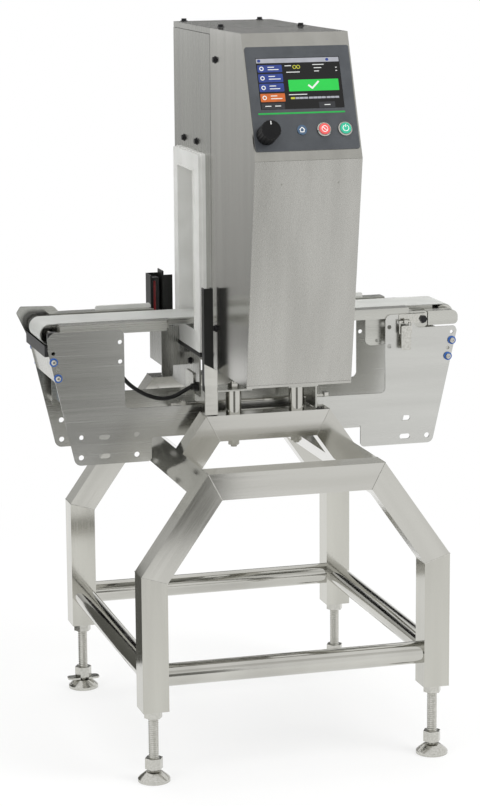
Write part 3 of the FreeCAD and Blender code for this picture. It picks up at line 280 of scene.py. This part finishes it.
FINISH = {
    "stand_legs": STEEL_LEGS, "stand_diagonals": STEEL_DIAGONALS_PAINTED_LIGHTER, "stand_cross_bars": STEEL_BARS_PAINTED_LIGHTER,
    "stand_rails": POLISHED_TUBE, "leg_end_nuts": BRIGHT_STEEL, "foot_front_left": BRIGHT_STEEL,
    "foot_front_right": BRIGHT_STEEL, "foot_rear_left": BRIGHT_STEEL, "foot_rear_right": BRIGHT_STEEL,
    "head_standoffs": POLISHED_TUBE, "standoff_studs": BRIGHT_STEEL, "head_mount_brackets": FOLDED_SHEET,
    "base_frame": COIL_CASE_PAINTED_SHADE, "rubber_seals": RUBBER, "locating_rod": BRIGHT_STEEL,
    "conveyor_front_plate": SIDE_SHEET, "conveyor_rear_plate": SIDE_SHEET, "conveyor_brackets": FOLDED_SHEET,
    "end_crossplates": FOLDED_SHEET, "seal_washers": BLUE_SEAL, "seal_screws": BRIGHT_STEEL,
    "belt_bed": FOLDED_SHEET, "bed_side_members": FOLDED_SHEET, "belt_guides": WHITE_PLASTIC,
    "conveyor_belt": BELT_WHITE, "drive_roller": POLISHED_TUBE, "drive_bearings": BLACK_PLASTIC,
    "tail_roller": POLISHED_TUBE, "tail_axle": BRIGHT_STEEL, "tail_arms": FOLDED_SHEET,
    "scraper_bar": BLACK_PLASTIC, "gearmotor": MOTOR_GREY, "motor_pulley": ALUMINIUM, "timing_belt": RUBBER,
    "latch_base": BRIGHT_STEEL, "latch_lever": BRIGHT_STEEL, "latch_bail": BRIGHT_STEEL,
    "front_sensor_post": BLACK_PAINT, "front_sensor_foot": POLISHED_TUBE, "rear_sensor_channel": BLACK_PAINT,
    "photo_sensors": BLACK_PLASTIC, "sensor_mount_box": COIL_CASE_PAINTED_SHADE, "motor_cable": CABLE_PVC,
    "cable_glands": BLACK_PLASTIC, "coil_housing": COIL_CASE_PAINTED_SHADE, "coil_housing_cap": COIL_CASE_PAINTED_SHADE,
    "tunnel_flanges": WHITE_PLASTIC, "tunnel_liner": WHITE_PLASTIC, "search_coils": COPPER,
    "control_housing": HEAD_SHEET, "front_cover": COVER_SHEET, "display_bezel": OVERLAY,
    "display_screen": SCREEN_GLASS, "rotary_knob": KNOB_PLASTIC, "home_key": BLUE_CAP,
    "stop_button": RED_CAP, "start_button": TEAL_CAP, "button_rings": BRIGHT_STEEL,
    "control_electronics": GREEN_BOARD, "hex_bolts": BLACK_BOLT,
}
# How far each node's edges are broken, in millimetres, so that they catch the light.
EDGE_BREAK = {
    "stand_legs": 2.0, "stand_cross_bars": 1.2, "stand_diagonals": 1.2, "coil_housing": 1.0,
    "coil_housing_cap": 1.4, "control_housing": 0.8, "front_cover": 0.5, "tunnel_flanges": 1.0,
    "hex_bolts": 0.5, "leg_end_nuts": 0.8, "standoff_studs": 0.5, "tail_arms": 1.2, "rotary_knob": 0.5,
    "stop_button": 0.5, "start_button": 0.5, "button_rings": 0.3, "home_key": 0.5, "gearmotor": 1.5,
    "front_sensor_foot": 0.4, "conveyor_front_plate": 0.4, "conveyor_rear_plate": 0.4, "belt_bed": 0.5,
    "bed_side_members": 0.9, "scraper_bar": 0.5, "display_bezel": 0.3, "latch_lever": 0.4, "latch_base": 0.3,
    "latch_bail": 0.5, "sensor_mount_box": 0.8, "photo_sensors": 0.8, "head_mount_brackets": 0.4,
    "cable_glands": 0.5, "drive_bearings": 0.8, "motor_pulley": 0.4, "belt_guides": 0.5,
}


SHARP_EDGE = math.radians(35)       # a fold sharper than this is an edge, and is broken


def bevel(piece, width):
    """Rounds a piece's sharp edges and keeps its flats flat."""
    edge = piece.modifiers.new("edge_break", "BEVEL")
    edge.width = width * MM
    edge.segments = 2
    edge.limit_method = "ANGLE"
    edge.angle_limit = SHARP_EDGE
    edge.harden_normals = True


def dress_nodes():
    for name, piece in NODES.items():
        piece.data.materials.clear()
        piece.data.materials.append(FINISH[name])
        if name in EDGE_BREAK:
            bevel(piece, EDGE_BREAK[name])


dress_nodes()


# ---------------------------------------------------------------- piece tools

def make_piece(name, points, faces, material, body, smooth):
    """A mesh piece from points in row-frame metres, riding on a CAD body; folds of more than smooth
    degrees stay sharp."""
    mesh = bpy.data.meshes.new(name)
    mesh.from_pydata([tuple(point) for point in points], [], faces)
    mesh.materials.append(material)
    mesh.validate()
    mesh.shade_smooth()
    mesh.set_sharp_from_angle(angle=math.radians(smooth))
    piece = bpy.data.objects.new(name, mesh)
    bpy.context.scene.collection.objects.link(piece)
    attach(piece, body)
    return piece


def merged(parts):
    """Several (points, faces) shapes as one."""
    points, faces = [], []
    for part_points, part_faces in parts:
        start = len(points)
        points += part_points
        faces += [tuple(index + start for index in face) for face in part_faces]
    return points, faces


def moved(shape, matrix):
    return [matrix @ Vector(point) for point in shape[0]], shape[1]


def turned(profile, sides=32):
    """A closed turned form about Z from (radius, height) pairs, bottom to top, in metres."""
    points, faces = [], []
    for radius, height in profile:
        for i in range(sides):
            angle = math.tau * i / sides
            points.append(Vector((radius * math.cos(angle), radius * math.sin(angle), height)))
    for row in range(len(profile) - 1):
        for i in range(sides):
            a, b = row * sides + i, row * sides + (i + 1) % sides
            faces.append((a, b, b + sides, a + sides))
    last = (len(profile) - 1) * sides
    faces.append(tuple(reversed(range(sides))))
    faces.append(tuple(range(last, last + sides)))
    return points, faces


def slab(corners, low, high):
    """A flat form between two heights, from its outline in the X-Y plane."""
    count = len(corners)
    points = [Vector((x, y, z)) for z in (low, high) for x, y in corners]
    faces = [(i, (i + 1) % count, (i + 1) % count + count, i + count) for i in range(count)]
    faces.append(tuple(reversed(range(count))))
    faces.append(tuple(range(count, 2 * count)))
    return points, faces


CORNER_STEPS = 4


def round_rectangle(x0, x1, y0, y1, radius):
    """The outline of a rectangle with rounded corners."""
    corners = []
    for cx, cy, start in ((x1 - radius, y1 - radius, 0), (x0 + radius, y1 - radius, 1),
                          (x0 + radius, y0 + radius, 2), (x1 - radius, y0 + radius, 3)):
        for i in range(CORNER_STEPS + 1):
            angle = math.pi / 2 * (start + i / CORNER_STEPS)
            corners.append((cx + radius * math.cos(angle), cy + radius * math.sin(angle)))
    return corners


def scaled(corners):
    """Millimetres to metres."""
    return [(x * MM, y * MM) for x, y in corners]


def hexagon_corners(across_flats):
    radius = across_flats / math.sqrt(3)
    return [(radius * math.cos(math.tau * i / 6), radius * math.sin(math.tau * i / 6)) for i in range(6)]


def facing(point, direction):
    """The placement that turns +Z to a direction at a point."""
    turn = Vector((0, 0, 1)).rotation_difference(Vector(direction))
    return Matrix.Translation(point) @ turn.to_matrix().to_4x4()


BEAD_SIDES = 6


def bead_loop(corners, radius):
    """A thin bead of weld that runs through the corners and closes on itself."""
    points, faces = [], []
    count = len(corners)
    middle = sum(corners, Vector()) / count
    normal = (corners[1] - corners[0]).cross(corners[2] - corners[1]).normalized()
    for corner in corners:
        outward = (corner - middle).normalized()
        for k in range(BEAD_SIDES):
            angle = math.tau * k / BEAD_SIDES
            points.append(corner + (outward * math.cos(angle) + normal * math.sin(angle)) * radius)
    for i in range(count):
        for k in range(BEAD_SIDES):
            here = i * BEAD_SIDES
            after = (i + 1) % count * BEAD_SIDES
            beside = (k + 1) % BEAD_SIDES
            faces.append((here + k, here + beside, after + beside, after + k))
    return points, faces


# ---------------------------------------------------------------- feet

THREAD_PITCH = 4.0 * MM         # coarser than an M20 thread's 2.5 mm, so that it shows
THREAD_CREST = 9.9 * MM
THREAD_ROOT = 8.5 * MM
ROWS_PER_PITCH = 6
SPINDLE_SIDES = 20
# The rest of a foot, in millimetres from the floor up: radius and height along the cupped pad and
# the neck, then the hexagon across its flats and between its two heights.
PAD_PROFILE = [(28, 0), (30.6, 1.2), (30.6, 6.5), (28.5, 9), (22, 14.5), (17.5, 18), (15, 19.8), (9, 20)]
NECK_PROFILE = [(7.8, 20), (7.8, 25)]
FOOT_HEX = 30.0
HEX_SPAN = (25.0, 46.0)
SPINDLE_FOOT = 45.0
FOOT_EDGE = 0.7
# An anchor plate's ear: x and y along one half of its outline, and its two heights.
EAR_OUTLINE = [(33, 6), (29, 11), (17, 12.4), (8.5, 12.4)]
EAR_SPAN = (20.2, 24.0)


def threaded(low, high):
    """A spindle with a helical ridge."""
    rows = round((high - low) / THREAD_PITCH * ROWS_PER_PITCH)
    points, faces = [], []
    for row in range(rows + 1):
        height = low + (high - low) * row / rows
        for i in range(SPINDLE_SIDES):
            phase = (height / THREAD_PITCH - i / SPINDLE_SIDES) % 1.0
            radius = THREAD_ROOT + (THREAD_CREST - THREAD_ROOT) * (1 - abs(2 * phase - 1))
            angle = math.tau * i / SPINDLE_SIDES
            points.append(Vector((radius * math.cos(angle), radius * math.sin(angle), height)))
    for row in range(rows):
        for i in range(SPINDLE_SIDES):
            a, b = row * SPINDLE_SIDES + i, row * SPINDLE_SIDES + (i + 1) % SPINDLE_SIDES
            faces.append((a, b, b + SPINDLE_SIDES, a + SPINDLE_SIDES))
    faces.append(tuple(reversed(range(SPINDLE_SIDES))))
    faces.append(tuple(range(rows * SPINDLE_SIDES, (rows + 1) * SPINDLE_SIDES)))
    return points, faces


def wing_plate():
    """The anchor plate's ears either side of the neck."""
    ears = []
    for side in (-1, 1):
        outer = [(side * x, y) for x, y in EAR_OUTLINE]
        outline = outer + [(x, -y) for x, y in reversed(outer)]
        if side > 0:
            outline.reverse()
        ears.append(slab(scaled(outline), EAR_SPAN[0] * MM, EAR_SPAN[1] * MM))
    return ears


def add_foot(node, body):
    low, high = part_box(node)
    centre = Vector(((low.x + high.x) / 2, (low.y + high.y) / 2, low.z))
    shapes = [
        turned(scaled(PAD_PROFILE)),
        turned(scaled(NECK_PROFILE), 24),
        slab(scaled(hexagon_corners(FOOT_HEX)), HEX_SPAN[0] * MM, HEX_SPAN[1] * MM),
        threaded(SPINDLE_FOOT * MM, high.z - low.z),
    ]
    if "rear" in node:
        shapes += wing_plate()
    points, faces = moved(merged(shapes), Matrix.Translation(centre))
    piece = make_piece(node + "_turned", points, faces, BRIGHT_STEEL, body, 40)
    bevel(piece, FOOT_EDGE)
    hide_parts(node)


for foot_name, foot_body in (("foot_front_left", "foot_fl"), ("foot_front_right", "foot_fr"),
                             ("foot_rear_left", "foot_rl"), ("foot_rear_right", "foot_rr")):
    add_foot(foot_name, foot_body)


# ---------------------------------------------------------------- weld seams on the stand

# The stand's tube, half its length, where its legs end and its diagonals begin, its front face, the
# diagonals' slope and the weld bead's radius.  Lengths are in millimetres.
TUBE = 50.0
HALF_X = 300.0
KNEE_Z = 400.0
FRONT_Y = -330.0
SLOPE = math.radians(55)
BEAD = 0.9
# The top of the low front bar and of the bridge and rear bar, and the bridge's front face.
FRONT_BAR_Z = 584.5
BRIDGE_Z = 653.3
BRIDGE_Y = -141.0


def half_width(height):
    """How far out the diagonals' outer faces are at a height."""
    return HALF_X - (height - KNEE_Z) / math.tan(SLOPE)


def mitre(outer_x, outer_z, at_leg, y, side):
    """The bead round a mitred corner, from its outer edge: at the top of a leg, or where the
    diagonal meets the level bar."""
    if at_leg:
        lean = (math.pi / 2 - SLOPE) / 2
        inner = (outer_x - TUBE, outer_z - TUBE * math.tan(lean))
    else:
        lean = SLOPE / 2
        inner = (outer_x - TUBE * math.tan(lean), outer_z - TUBE)
    corners = [at(side * x, depth, z) for (x, z), depth in
               (((outer_x, outer_z), y), (inner, y), (inner, y + TUBE), ((outer_x, outer_z), y + TUBE))]
    return bead_loop(corners, BEAD * MM)


def add_seams():
    seams = []
    for side in (-1, 1):
        for y, top in ((FRONT_Y, FRONT_BAR_Z), (-FRONT_Y - TUBE, BRIDGE_Z)):
            seams.append(mitre(HALF_X, KNEE_Z, True, y, side))
            seams.append(mitre(half_width(top), top, False, y, side))
        seams.append(mitre(half_width(BRIDGE_Z), BRIDGE_Z, False, BRIDGE_Y, side))
    points, faces = merged(seams)
    make_piece("weld_seams", points, faces, BRIGHT_STEEL, "machine", 60)


add_seams()


# ---------------------------------------------------------------- operator panel

PANEL_TOP = (-317.0, 1382.0)        # y and z of the sloped panel's upper edge
VISOR = (-405.0, 1161.5)            # y and z of its lower edge
PANEL_TILT = math.atan2(PANEL_TOP[1] - VISOR[1], PANEL_TOP[0] - VISOR[0])
PANEL = Matrix.Translation(at(0, *PANEL_TOP)) @ Matrix.Rotation(PANEL_TILT, 4, "X")
# Heights above the panel: the display's glass, the home key, the caps and the knob.
GLASS_TOP = 1.4
HOME_TOP = 3.2
CAP_TOP = 7.4
KNOB_TOP = 40.0
# The middles of the controls: x along the panel and s down it.
KNOB = (-75.0, 190.0)
HOME = (-7.5, 182.0)
STOP = (33.5, 182.5)
START = (72.8, 182.5)
TILE = 0.25                         # how thick a printed or lit area is
TILE_RADIUS = 0.6
ARC_STEPS = 20
RING = (0, 359.9)                   # just short of a whole turn, so that a ring's ends don't cross
STATUS_ROW = (48.5, 56.7)
STATUS_MARK_ROW = (50, 55.2)
KEYS_X = (-77, -31.5)
BLUE_KEY_ROWS = ((60.4, 73.7), (77, 92.3), (94.7, 109.9))
ORANGE_KEY_ROW = (113.2, 128.5)
FOOT_ROW = (131, 142)
LEVEL_ROW = (121, 124.5)
LEVEL_WIDTH = 7.4
LEVEL_STARTS = (-12.5, -4.5, 3.5, 12.5, 20.5, 28.5, 36.5, 45.5, 53.5, 61.5)
# Plain strokes that stand for words: the place of each one's left end and its length.
KEY_STROKES = ((64.5, 12), (69, 20), (81.5, 12), (86.5, 22), (99.3, 12), (104.5, 19), (117.7, 12), (122.8, 21))
KEY_RING_ROWS = (67, 84.6, 102.3, 120.8)
FIELD_STROKES = ((-26, 62.5, 12), (26, 61.5, 21), (28, 67.5, 14), (28, 73.5, 9), (-24, 74.5, 25),
                 (-24, 116.2, 34), (68, 67.5, 3), (68, 73.5, 3))


def tile(x0, x1, s0, s1, base, radius=TILE_RADIUS, thick=TILE):
    """A thin raised area, x along the panel and s down it."""
    return slab(scaled(round_rectangle(x0, x1, -s1, -s0, radius)), base * MM, (base + thick) * MM)


def add_on_panel(name, shapes, material, body):
    points, faces = moved(merged(shapes), PANEL)
    return make_piece(name, points, faces, material, body, 30)


def bar_between(a, b, width, base, thick=TILE):
    """A straight stroke between two panel points (x, s)."""
    start, end = Vector((a[0], -a[1])), Vector((b[0], -b[1]))
    along = (end - start).normalized()
    side = Vector((-along.y, along.x)) * width / 2
    outline = [start - side, end - side, end + side, start + side]
    return slab(scaled([(p.x, p.y) for p in outline]), base * MM, (base + thick) * MM)


def arc_stroke(centre, radius, start, end, width, base):
    """A curved stroke on the panel; angles in degrees."""
    outer, inner = [], []
    for i in range(ARC_STEPS + 1):
        angle = math.radians(start + (end - start) * i / ARC_STEPS)
        for ring, reach in ((outer, radius + width / 2), (inner, radius - width / 2)):
            ring.append((centre[0] + reach * math.cos(angle), -centre[1] + reach * math.sin(angle)))
    return slab(scaled(outer + inner[::-1]), base * MM, (base + TILE) * MM)


def add_screen_picture():
    """A plain operating screen: status bar, four keys, a pass tile with a tick, and level bars."""
    over = GLASS_TOP + TILE
    groups = {
        "screen_status_bar": ([tile(-78, 76, *STATUS_ROW, GLASS_TOP)], LIT_SILVER),
        "screen_blue_keys": ([tile(*KEYS_X, *row, GLASS_TOP, 1.5) for row in BLUE_KEY_ROWS], LIT_BLUE),
        "screen_orange_key": ([tile(*KEYS_X, *ORANGE_KEY_ROW, GLASS_TOP, 1.5)], LIT_ORANGE),
        "screen_foot_bar": ([tile(*span, *FOOT_ROW, GLASS_TOP) for span in ((-77, -34), (30, 60))], LIT_DARK),
        "screen_pass_tile": ([tile(-22.5, 71, 88.8, 110.1, GLASS_TOP, 1.0)], LIT_GREEN),
        "screen_level_first": ([tile(-21, -13.5, *LEVEL_ROW, GLASS_TOP)], LIT_YELLOW),
        "screen_level_bars": (
            [tile(x, x + LEVEL_WIDTH, *LEVEL_ROW, GLASS_TOP) for x in LEVEL_STARTS], LIT_SILVER),
        "screen_tick": ([bar_between((14, 99), (21.5, 105.5), 3.2, over),
                         bar_between((20.5, 105.6), (34, 92.5), 3.2, over)], LIT_WHITE),
        "screen_key_marks": (
            [bar_between((-58, s), (-58 + reach, s), 1.4, over) for s, reach in KEY_STROKES]
            + [arc_stroke((-69.5, s), 3.2, *RING, 1.6, over) for s in KEY_RING_ROWS]
            + [bar_between((x, 136.5), (x + 11, 136.5), 1.4, over) for x in (-70, -52, 40)]
            + [bar_between((x, s), (x + reach, s), 1.3, GLASS_TOP) for x, s, reach in FIELD_STROKES],
            LIT_WHITE),
        "screen_product_mark": (
            [arc_stroke((x, 65), 3.0, *RING, 1.2, GLASS_TOP) for x in (-8, -1)], LIT_YELLOW),
        "screen_status_marks": ([tile(x, x + 6, *STATUS_MARK_ROW, over, 2.5) for x in (-76, 51)], LIT_BLUE),
        "status_light": ([tile(-85, 77, 149, 152, 2.0, 1.4)], LIT_LINE),
    }
    for name, (shapes, material) in groups.items():
        add_on_panel(name, shapes, material, "machine")


def add_button_marks():
    """Plain white symbols printed on the keys."""
    x, s = STOP
    add_on_panel("stop_mark", [arc_stroke(STOP, 5.4, *RING, 1.1, CAP_TOP),
                               bar_between((x - 3.2, s - 3.2), (x + 3.2, s + 3.2), 1.2, CAP_TOP)],
                 WHITE_INK, "stop")
    x, s = START
    add_on_panel("start_mark", [arc_stroke(START, 5.4, 115, 425, 1.1, CAP_TOP),
                                bar_between((x, s - 7), (x, s - 1.5), 1.2, CAP_TOP)],
                 WHITE_INK, "start")
    x, s = HOME
    roof = [bar_between((x - 5, s), (x, s - 4.6), 1.4, HOME_TOP),
            bar_between((x, s - 4.6), (x + 5, s), 1.4, HOME_TOP)]
    walls = [bar_between((x - 3.4, s - 0.6), (x - 3.4, s + 4), 1.3, HOME_TOP),
             bar_between((x + 3.4, s - 0.6), (x + 3.4, s + 4), 1.3, HOME_TOP),
             bar_between((x - 3.4, s + 4), (x + 3.4, s + 4), 1.3, HOME_TOP)]
    add_on_panel("home_mark", roof + walls, WHITE_INK, "home")
    x, s = KNOB
    add_on_panel("knob_pointer", [bar_between((x, s - 9), (x, s - 15.5), 1.4, KNOB_TOP, 0.2)],
                 WHITE_INK, "knob")


add_screen_picture()
add_button_marks()


# ---------------------------------------------------------------- screws

# Places in millimetres: x and z of the seal screws on both sides of the middle, and y of the faces
# that they stand on.  The washer under each head is 3 mm thick.
SEAL_SCREWS = [(399.3, 759.6), (391.3, 728.2)]
FRONT_FACE = -61.5
REAR_FACE = 121.5
WASHER = 3.0
# Radius and height along the head, then the socket's corner radius and height at its rim and floor.
HEAD_PROFILE = [(3.0, 0), (5.4, 0), (5.6, 0.6), (5.3, 2.2), (4.2, 3.4), (2.6, 3.95)]
SOCKET_RINGS = ((2.375, 3.95), (2.125, 1.6))
HEAD_SIDES = 24


def button_head():
    """A domed screw head with a hexagonal socket sunk in it."""
    points, faces = turned(scaled(HEAD_PROFILE), HEAD_SIDES)
    faces.pop()
    rim = len(points) - HEAD_SIDES
    for radius, height in SOCKET_RINGS:
        for i in range(HEAD_SIDES):
            angle = math.tau * i / HEAD_SIDES
            reach = radius * MM * math.cos(math.pi / 6) / math.cos(angle % (math.pi / 3) - math.pi / 6)
            points.append(Vector((reach * math.cos(angle), reach * math.sin(angle), height * MM)))
    for row in (rim, rim + HEAD_SIDES):
        for i in range(HEAD_SIDES):
            a, b = row + i, row + (i + 1) % HEAD_SIDES
            faces.append((a, b, b + HEAD_SIDES, a + HEAD_SIDES))
    faces.append(tuple(range(rim + 2 * HEAD_SIDES, rim + 3 * HEAD_SIDES)))
    return points, faces


def add_seal_screws():
    heads = []
    for side in (-1, 1):
        for x, z in SEAL_SCREWS:
            heads.append(moved(button_head(), facing(at(side * x, FRONT_FACE - WASHER, z), (0, -1, 0))))
            heads.append(moved(button_head(), facing(at(side * x, REAR_FACE + WASHER, z), (0, 1, 0))))
    points, faces = merged(heads)
    piece = make_piece("seal_screw_heads", points, faces, BRIGHT_STEEL, "machine", 40)
    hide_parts("seal_screws")


add_seal_screws()


# ---------------------------------------------------------------- sensors

LENS_THICK = 0.6
LENS_RADIUS = 2
# Each lens: its x and z limits, the y of the face that it sits in, and which way it stands out, in
# millimetres.
LENSES = {
    "rear_sensor_lens": ((-148.5, -144, 800, 872), 160, (0, LENS_THICK)),
    "front_sensor_lens": ((-118, -112, 846, 874), -119, (-LENS_THICK, 0)),
}


def add_sensor_lenses():
    """The lens of each photoelectric sensor, on the side that faces the belt."""
    upright = Matrix.Rotation(math.pi / 2, 4, "X")
    for name, (limits, face, span) in LENSES.items():
        lens = slab(scaled(round_rectangle(*limits, LENS_RADIUS)), span[0] * MM, span[1] * MM)
        points, faces = moved(lens, Matrix.Translation(at(0, face, 0)) @ upright)
        make_piece(name, points, faces, RED_LENS, "machine", 30)


add_sensor_lenses()


# ---------------------------------------------------------------- motor cable

# Millimetres from the stand's middle: out of the motor's terminal box, down in a slack bend, and
# into the foot of the head.
CABLE_D = 8.0
CABLE_ROUTE = [
    (-288, 6, 741), (-270, 7, 735), (-255, 8.5, 718), (-242, 10, 700), (-225, 10, 685),
    (-201, 10, 670.5), (-173, 10, 662), (-149, 12, 664), (-128, 13.5, 674), (-112, 14, 682),
]


def add_cable():
    curve = bpy.data.curves.new("motor_cable_sheath", "CURVE")
    curve.dimensions = "3D"
    curve.bevel_depth = CABLE_D / 2 * MM
    curve.bevel_resolution = 5
    curve.use_fill_caps = True
    spline = curve.splines.new("NURBS")
    spline.points.add(len(CABLE_ROUTE) - 1)
    for point, place in zip(spline.points, CABLE_ROUTE):
        point.co = (*at(*place), 1)
    spline.order_u = 3
    spline.use_endpoint_u = True
    spline.resolution_u = 8
    curve.materials.append(CABLE_PVC)
    cable = bpy.data.objects.new("motor_cable_sheath", curve)
    bpy.context.scene.collection.objects.link(cable)
    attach(cable, "machine")
    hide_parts("motor_cable")


add_cable()


# ---------------------------------------------------------------- motor fins

FIN_COUNT = 28
FIN_OUTLINE = [(32.5, -0.9), (37.5, -0.5), (37.5, 0.5), (32.5, 0.9)]
FIN_LENGTH = 62.0
FINS_START = (-330, 22, 690)
# The sector that the terminal box takes up has no fins.
BOX_SECTOR = (math.radians(50), math.radians(130))


def add_motor_fins():
    """Cooling fins along the motor's round body."""
    lying = Matrix.Translation(at(*FINS_START)) @ Matrix.Rotation(math.pi / 2, 4, "X")
    fins = []
    for i in range(FIN_COUNT):
        angle = math.tau * i / FIN_COUNT
        if BOX_SECTOR[0] < angle < BOX_SECTOR[1]:
            continue
        fin = slab(scaled(FIN_OUTLINE), 0, FIN_LENGTH * MM)
        fins.append(moved(fin, lying @ Matrix.Rotation(angle, 4, "Z")))
    points, faces = merged(fins)
    make_piece("motor_fins", points, faces, MOTOR_GREY, "machine", 30)


add_motor_fins()


# ---------------------------------------------------------------- floor, surround and light

FLOOR_SIDE = 28.0           # metres, as are all lengths in this section
SHADOW_REACH = (0.7, 2.0)   # metres from the stand over which the floor's shadow fades out
SHADOW_SHARE = 0.3          # how much of the floor near the stand is lit paper, which shows the shadow


def seen(tree):
    """1 for rays from the camera, off a gloss or through glass; 0 for the light that fills the room."""
    path = add(tree, "LightPath")
    first = add(tree, "Math", {"operation": "MAXIMUM"},
                {0: path.outputs["Is Camera Ray"], 1: path.outputs["Is Glossy Ray"]})
    both = add(tree, "Math", {"operation": "MAXIMUM"},
               {0: first.outputs[0], 1: path.outputs["Is Transmission Ray"]})
    return both.outputs[0]


def flat_sheet(name, size, material):
    """A flat square-cornered sheet in its own X-Y plane, which isn't part of the object."""
    mesh = bpy.data.meshes.new(name)
    x, y = size[0] / 2, size[1] / 2
    mesh.from_pydata([(-x, -y, 0), (x, -y, 0), (x, y, 0), (-x, y, 0)], [], [(0, 1, 2, 3)])
    mesh.materials.append(material)
    sheet = bpy.data.objects.new(name, mesh)
    bpy.context.scene.collection.objects.link(sheet)
    return sheet


def add_floor():
    """White paper that shows a soft shadow near the stand and glows evenly white farther off."""
    material, tree = new_material("white_paper_floor")
    paper = add(tree, "BsdfDiffuse", {"Color": srgb("F4F4F2")})
    white = add(tree, "Emission", {"Strength": 1.0})
    place = add(tree, "TexCoord").outputs["Object"]
    distance = add(tree, "VectorMath", {"operation": "LENGTH"}, {0: place}).outputs["Value"]
    reach = {"From Min": SHADOW_REACH[0], "From Max": SHADOW_REACH[1],
             "To Min": 1 - SHADOW_SHARE, "To Max": 1.0}
    share = add(tree, "MapRange", reach, {"Value": distance})
    shown = add(tree, "MixShader", links={0: share.outputs[0], 1: paper.outputs[0], 2: white.outputs[0]})
    floor = add(tree, "MixShader", links={0: seen(tree), 1: paper.outputs[0], 2: shown.outputs[0]})
    add(tree, "OutputMaterial", links={"Surface": floor.outputs[0]})
    flat_sheet("floor", (FLOOR_SIDE, FLOOR_SIDE), material)


def add_surround():
    """White all round to the eye, and a softer white as the light that fills the room."""
    world = bpy.data.worlds.new("surround")
    bpy.context.scene.world = world
    world.use_nodes = True
    tree = world.node_tree
    tree.nodes.clear()
    fill = add(tree, "Background", {"Color": srgb("F4F5F6"), "Strength": 0.6})
    white = add(tree, "Background", {"Color": srgb("FFFFFF"), "Strength": 1.0})
    shown = add(tree, "MixShader", links={0: seen(tree), 1: fill.outputs[0], 2: white.outputs[0]})
    add(tree, "OutputWorld", links={"Surface": shown.outputs[0]})


def add_card(name, x, y, z, low, high):
    """An upright card outside the picture, shaded from its foot to its top, that the steel mirrors."""
    material, tree = new_material(name)
    size = (x[1] - x[0], z[1] - z[0])
    place = add(tree, "SeparateXYZ", links={0: add(tree, "TexCoord").outputs["Generated"]})
    colours = {"data_type": "RGBA", 6: srgb(low), 7: srgb(high)}
    tone = add(tree, "Mix", colours, {0: place.outputs[1]})
    glow = add(tree, "Emission", {"Strength": 1.0}, {"Color": tone.outputs[2]})
    add(tree, "OutputMaterial", links={"Surface": glow.outputs[0]})
    card = flat_sheet(name, size, material)
    centre = Vector(((x[0] + x[1]) / 2, y, (z[0] + z[1]) / 2))
    card.matrix_world = Matrix.Translation(centre) @ Matrix.Rotation(math.pi / 2, 4, "X")
    card.visible_camera = False
    card.visible_diffuse = False
    card.visible_shadow = False


LAMP_AIM = Vector((0, 0, 0.8))


def add_lamp(name, centre, side, power):
    """A square lamp that points at the machine's middle and isn't mirrored in it; power in watts."""
    data = bpy.data.lights.new(name, "AREA")
    data.shape = "RECTANGLE"
    data.size = side
    data.size_y = side
    data.energy = power
    lamp = bpy.data.objects.new(name, data)
    lamp.matrix_world = facing(Vector(centre), Vector(centre) - LAMP_AIM)
    lamp.visible_glossy = False
    bpy.context.scene.collection.objects.link(lamp)


add_floor()
add_surround()
add_card("back_low_card", (-4.0, 0.5), 4.0, (0.0, 1.15), "9A9A98", "D6D6D4")
add_card("back_middle_card", (-8.0, 8.0), 8.2, (1.1, 2.05), "C4C4C2", "B4B4B2")
add_card("back_dark_card", (-8.0, 8.0), 8.0, (2.0, 3.6), "0A0A0A", "202020")
add_card("side_card", (-1.3, -0.36), 0.45, (0.01, 0.5), "5A5A55", "6E6E6A")
add_card("front_low_card", (-0.7, 0.34), -2.0, (0.02, 0.8), "7C7C79", "868683")
add_card("front_high_card", (-1.5, 3.5), -3.6, (2.0, 4.4), "E8E8E6", "DADAD8")
add_lamp("key_lamp", (2.6, -2.6, 3.4), 2.4, 120)
add_lamp("fill_lamp", (-3.4, -2.2, 2.4), 2.4, 50)
add_lamp("top_lamp", (0.0, 0.6, 4.2), 3.0, 80)
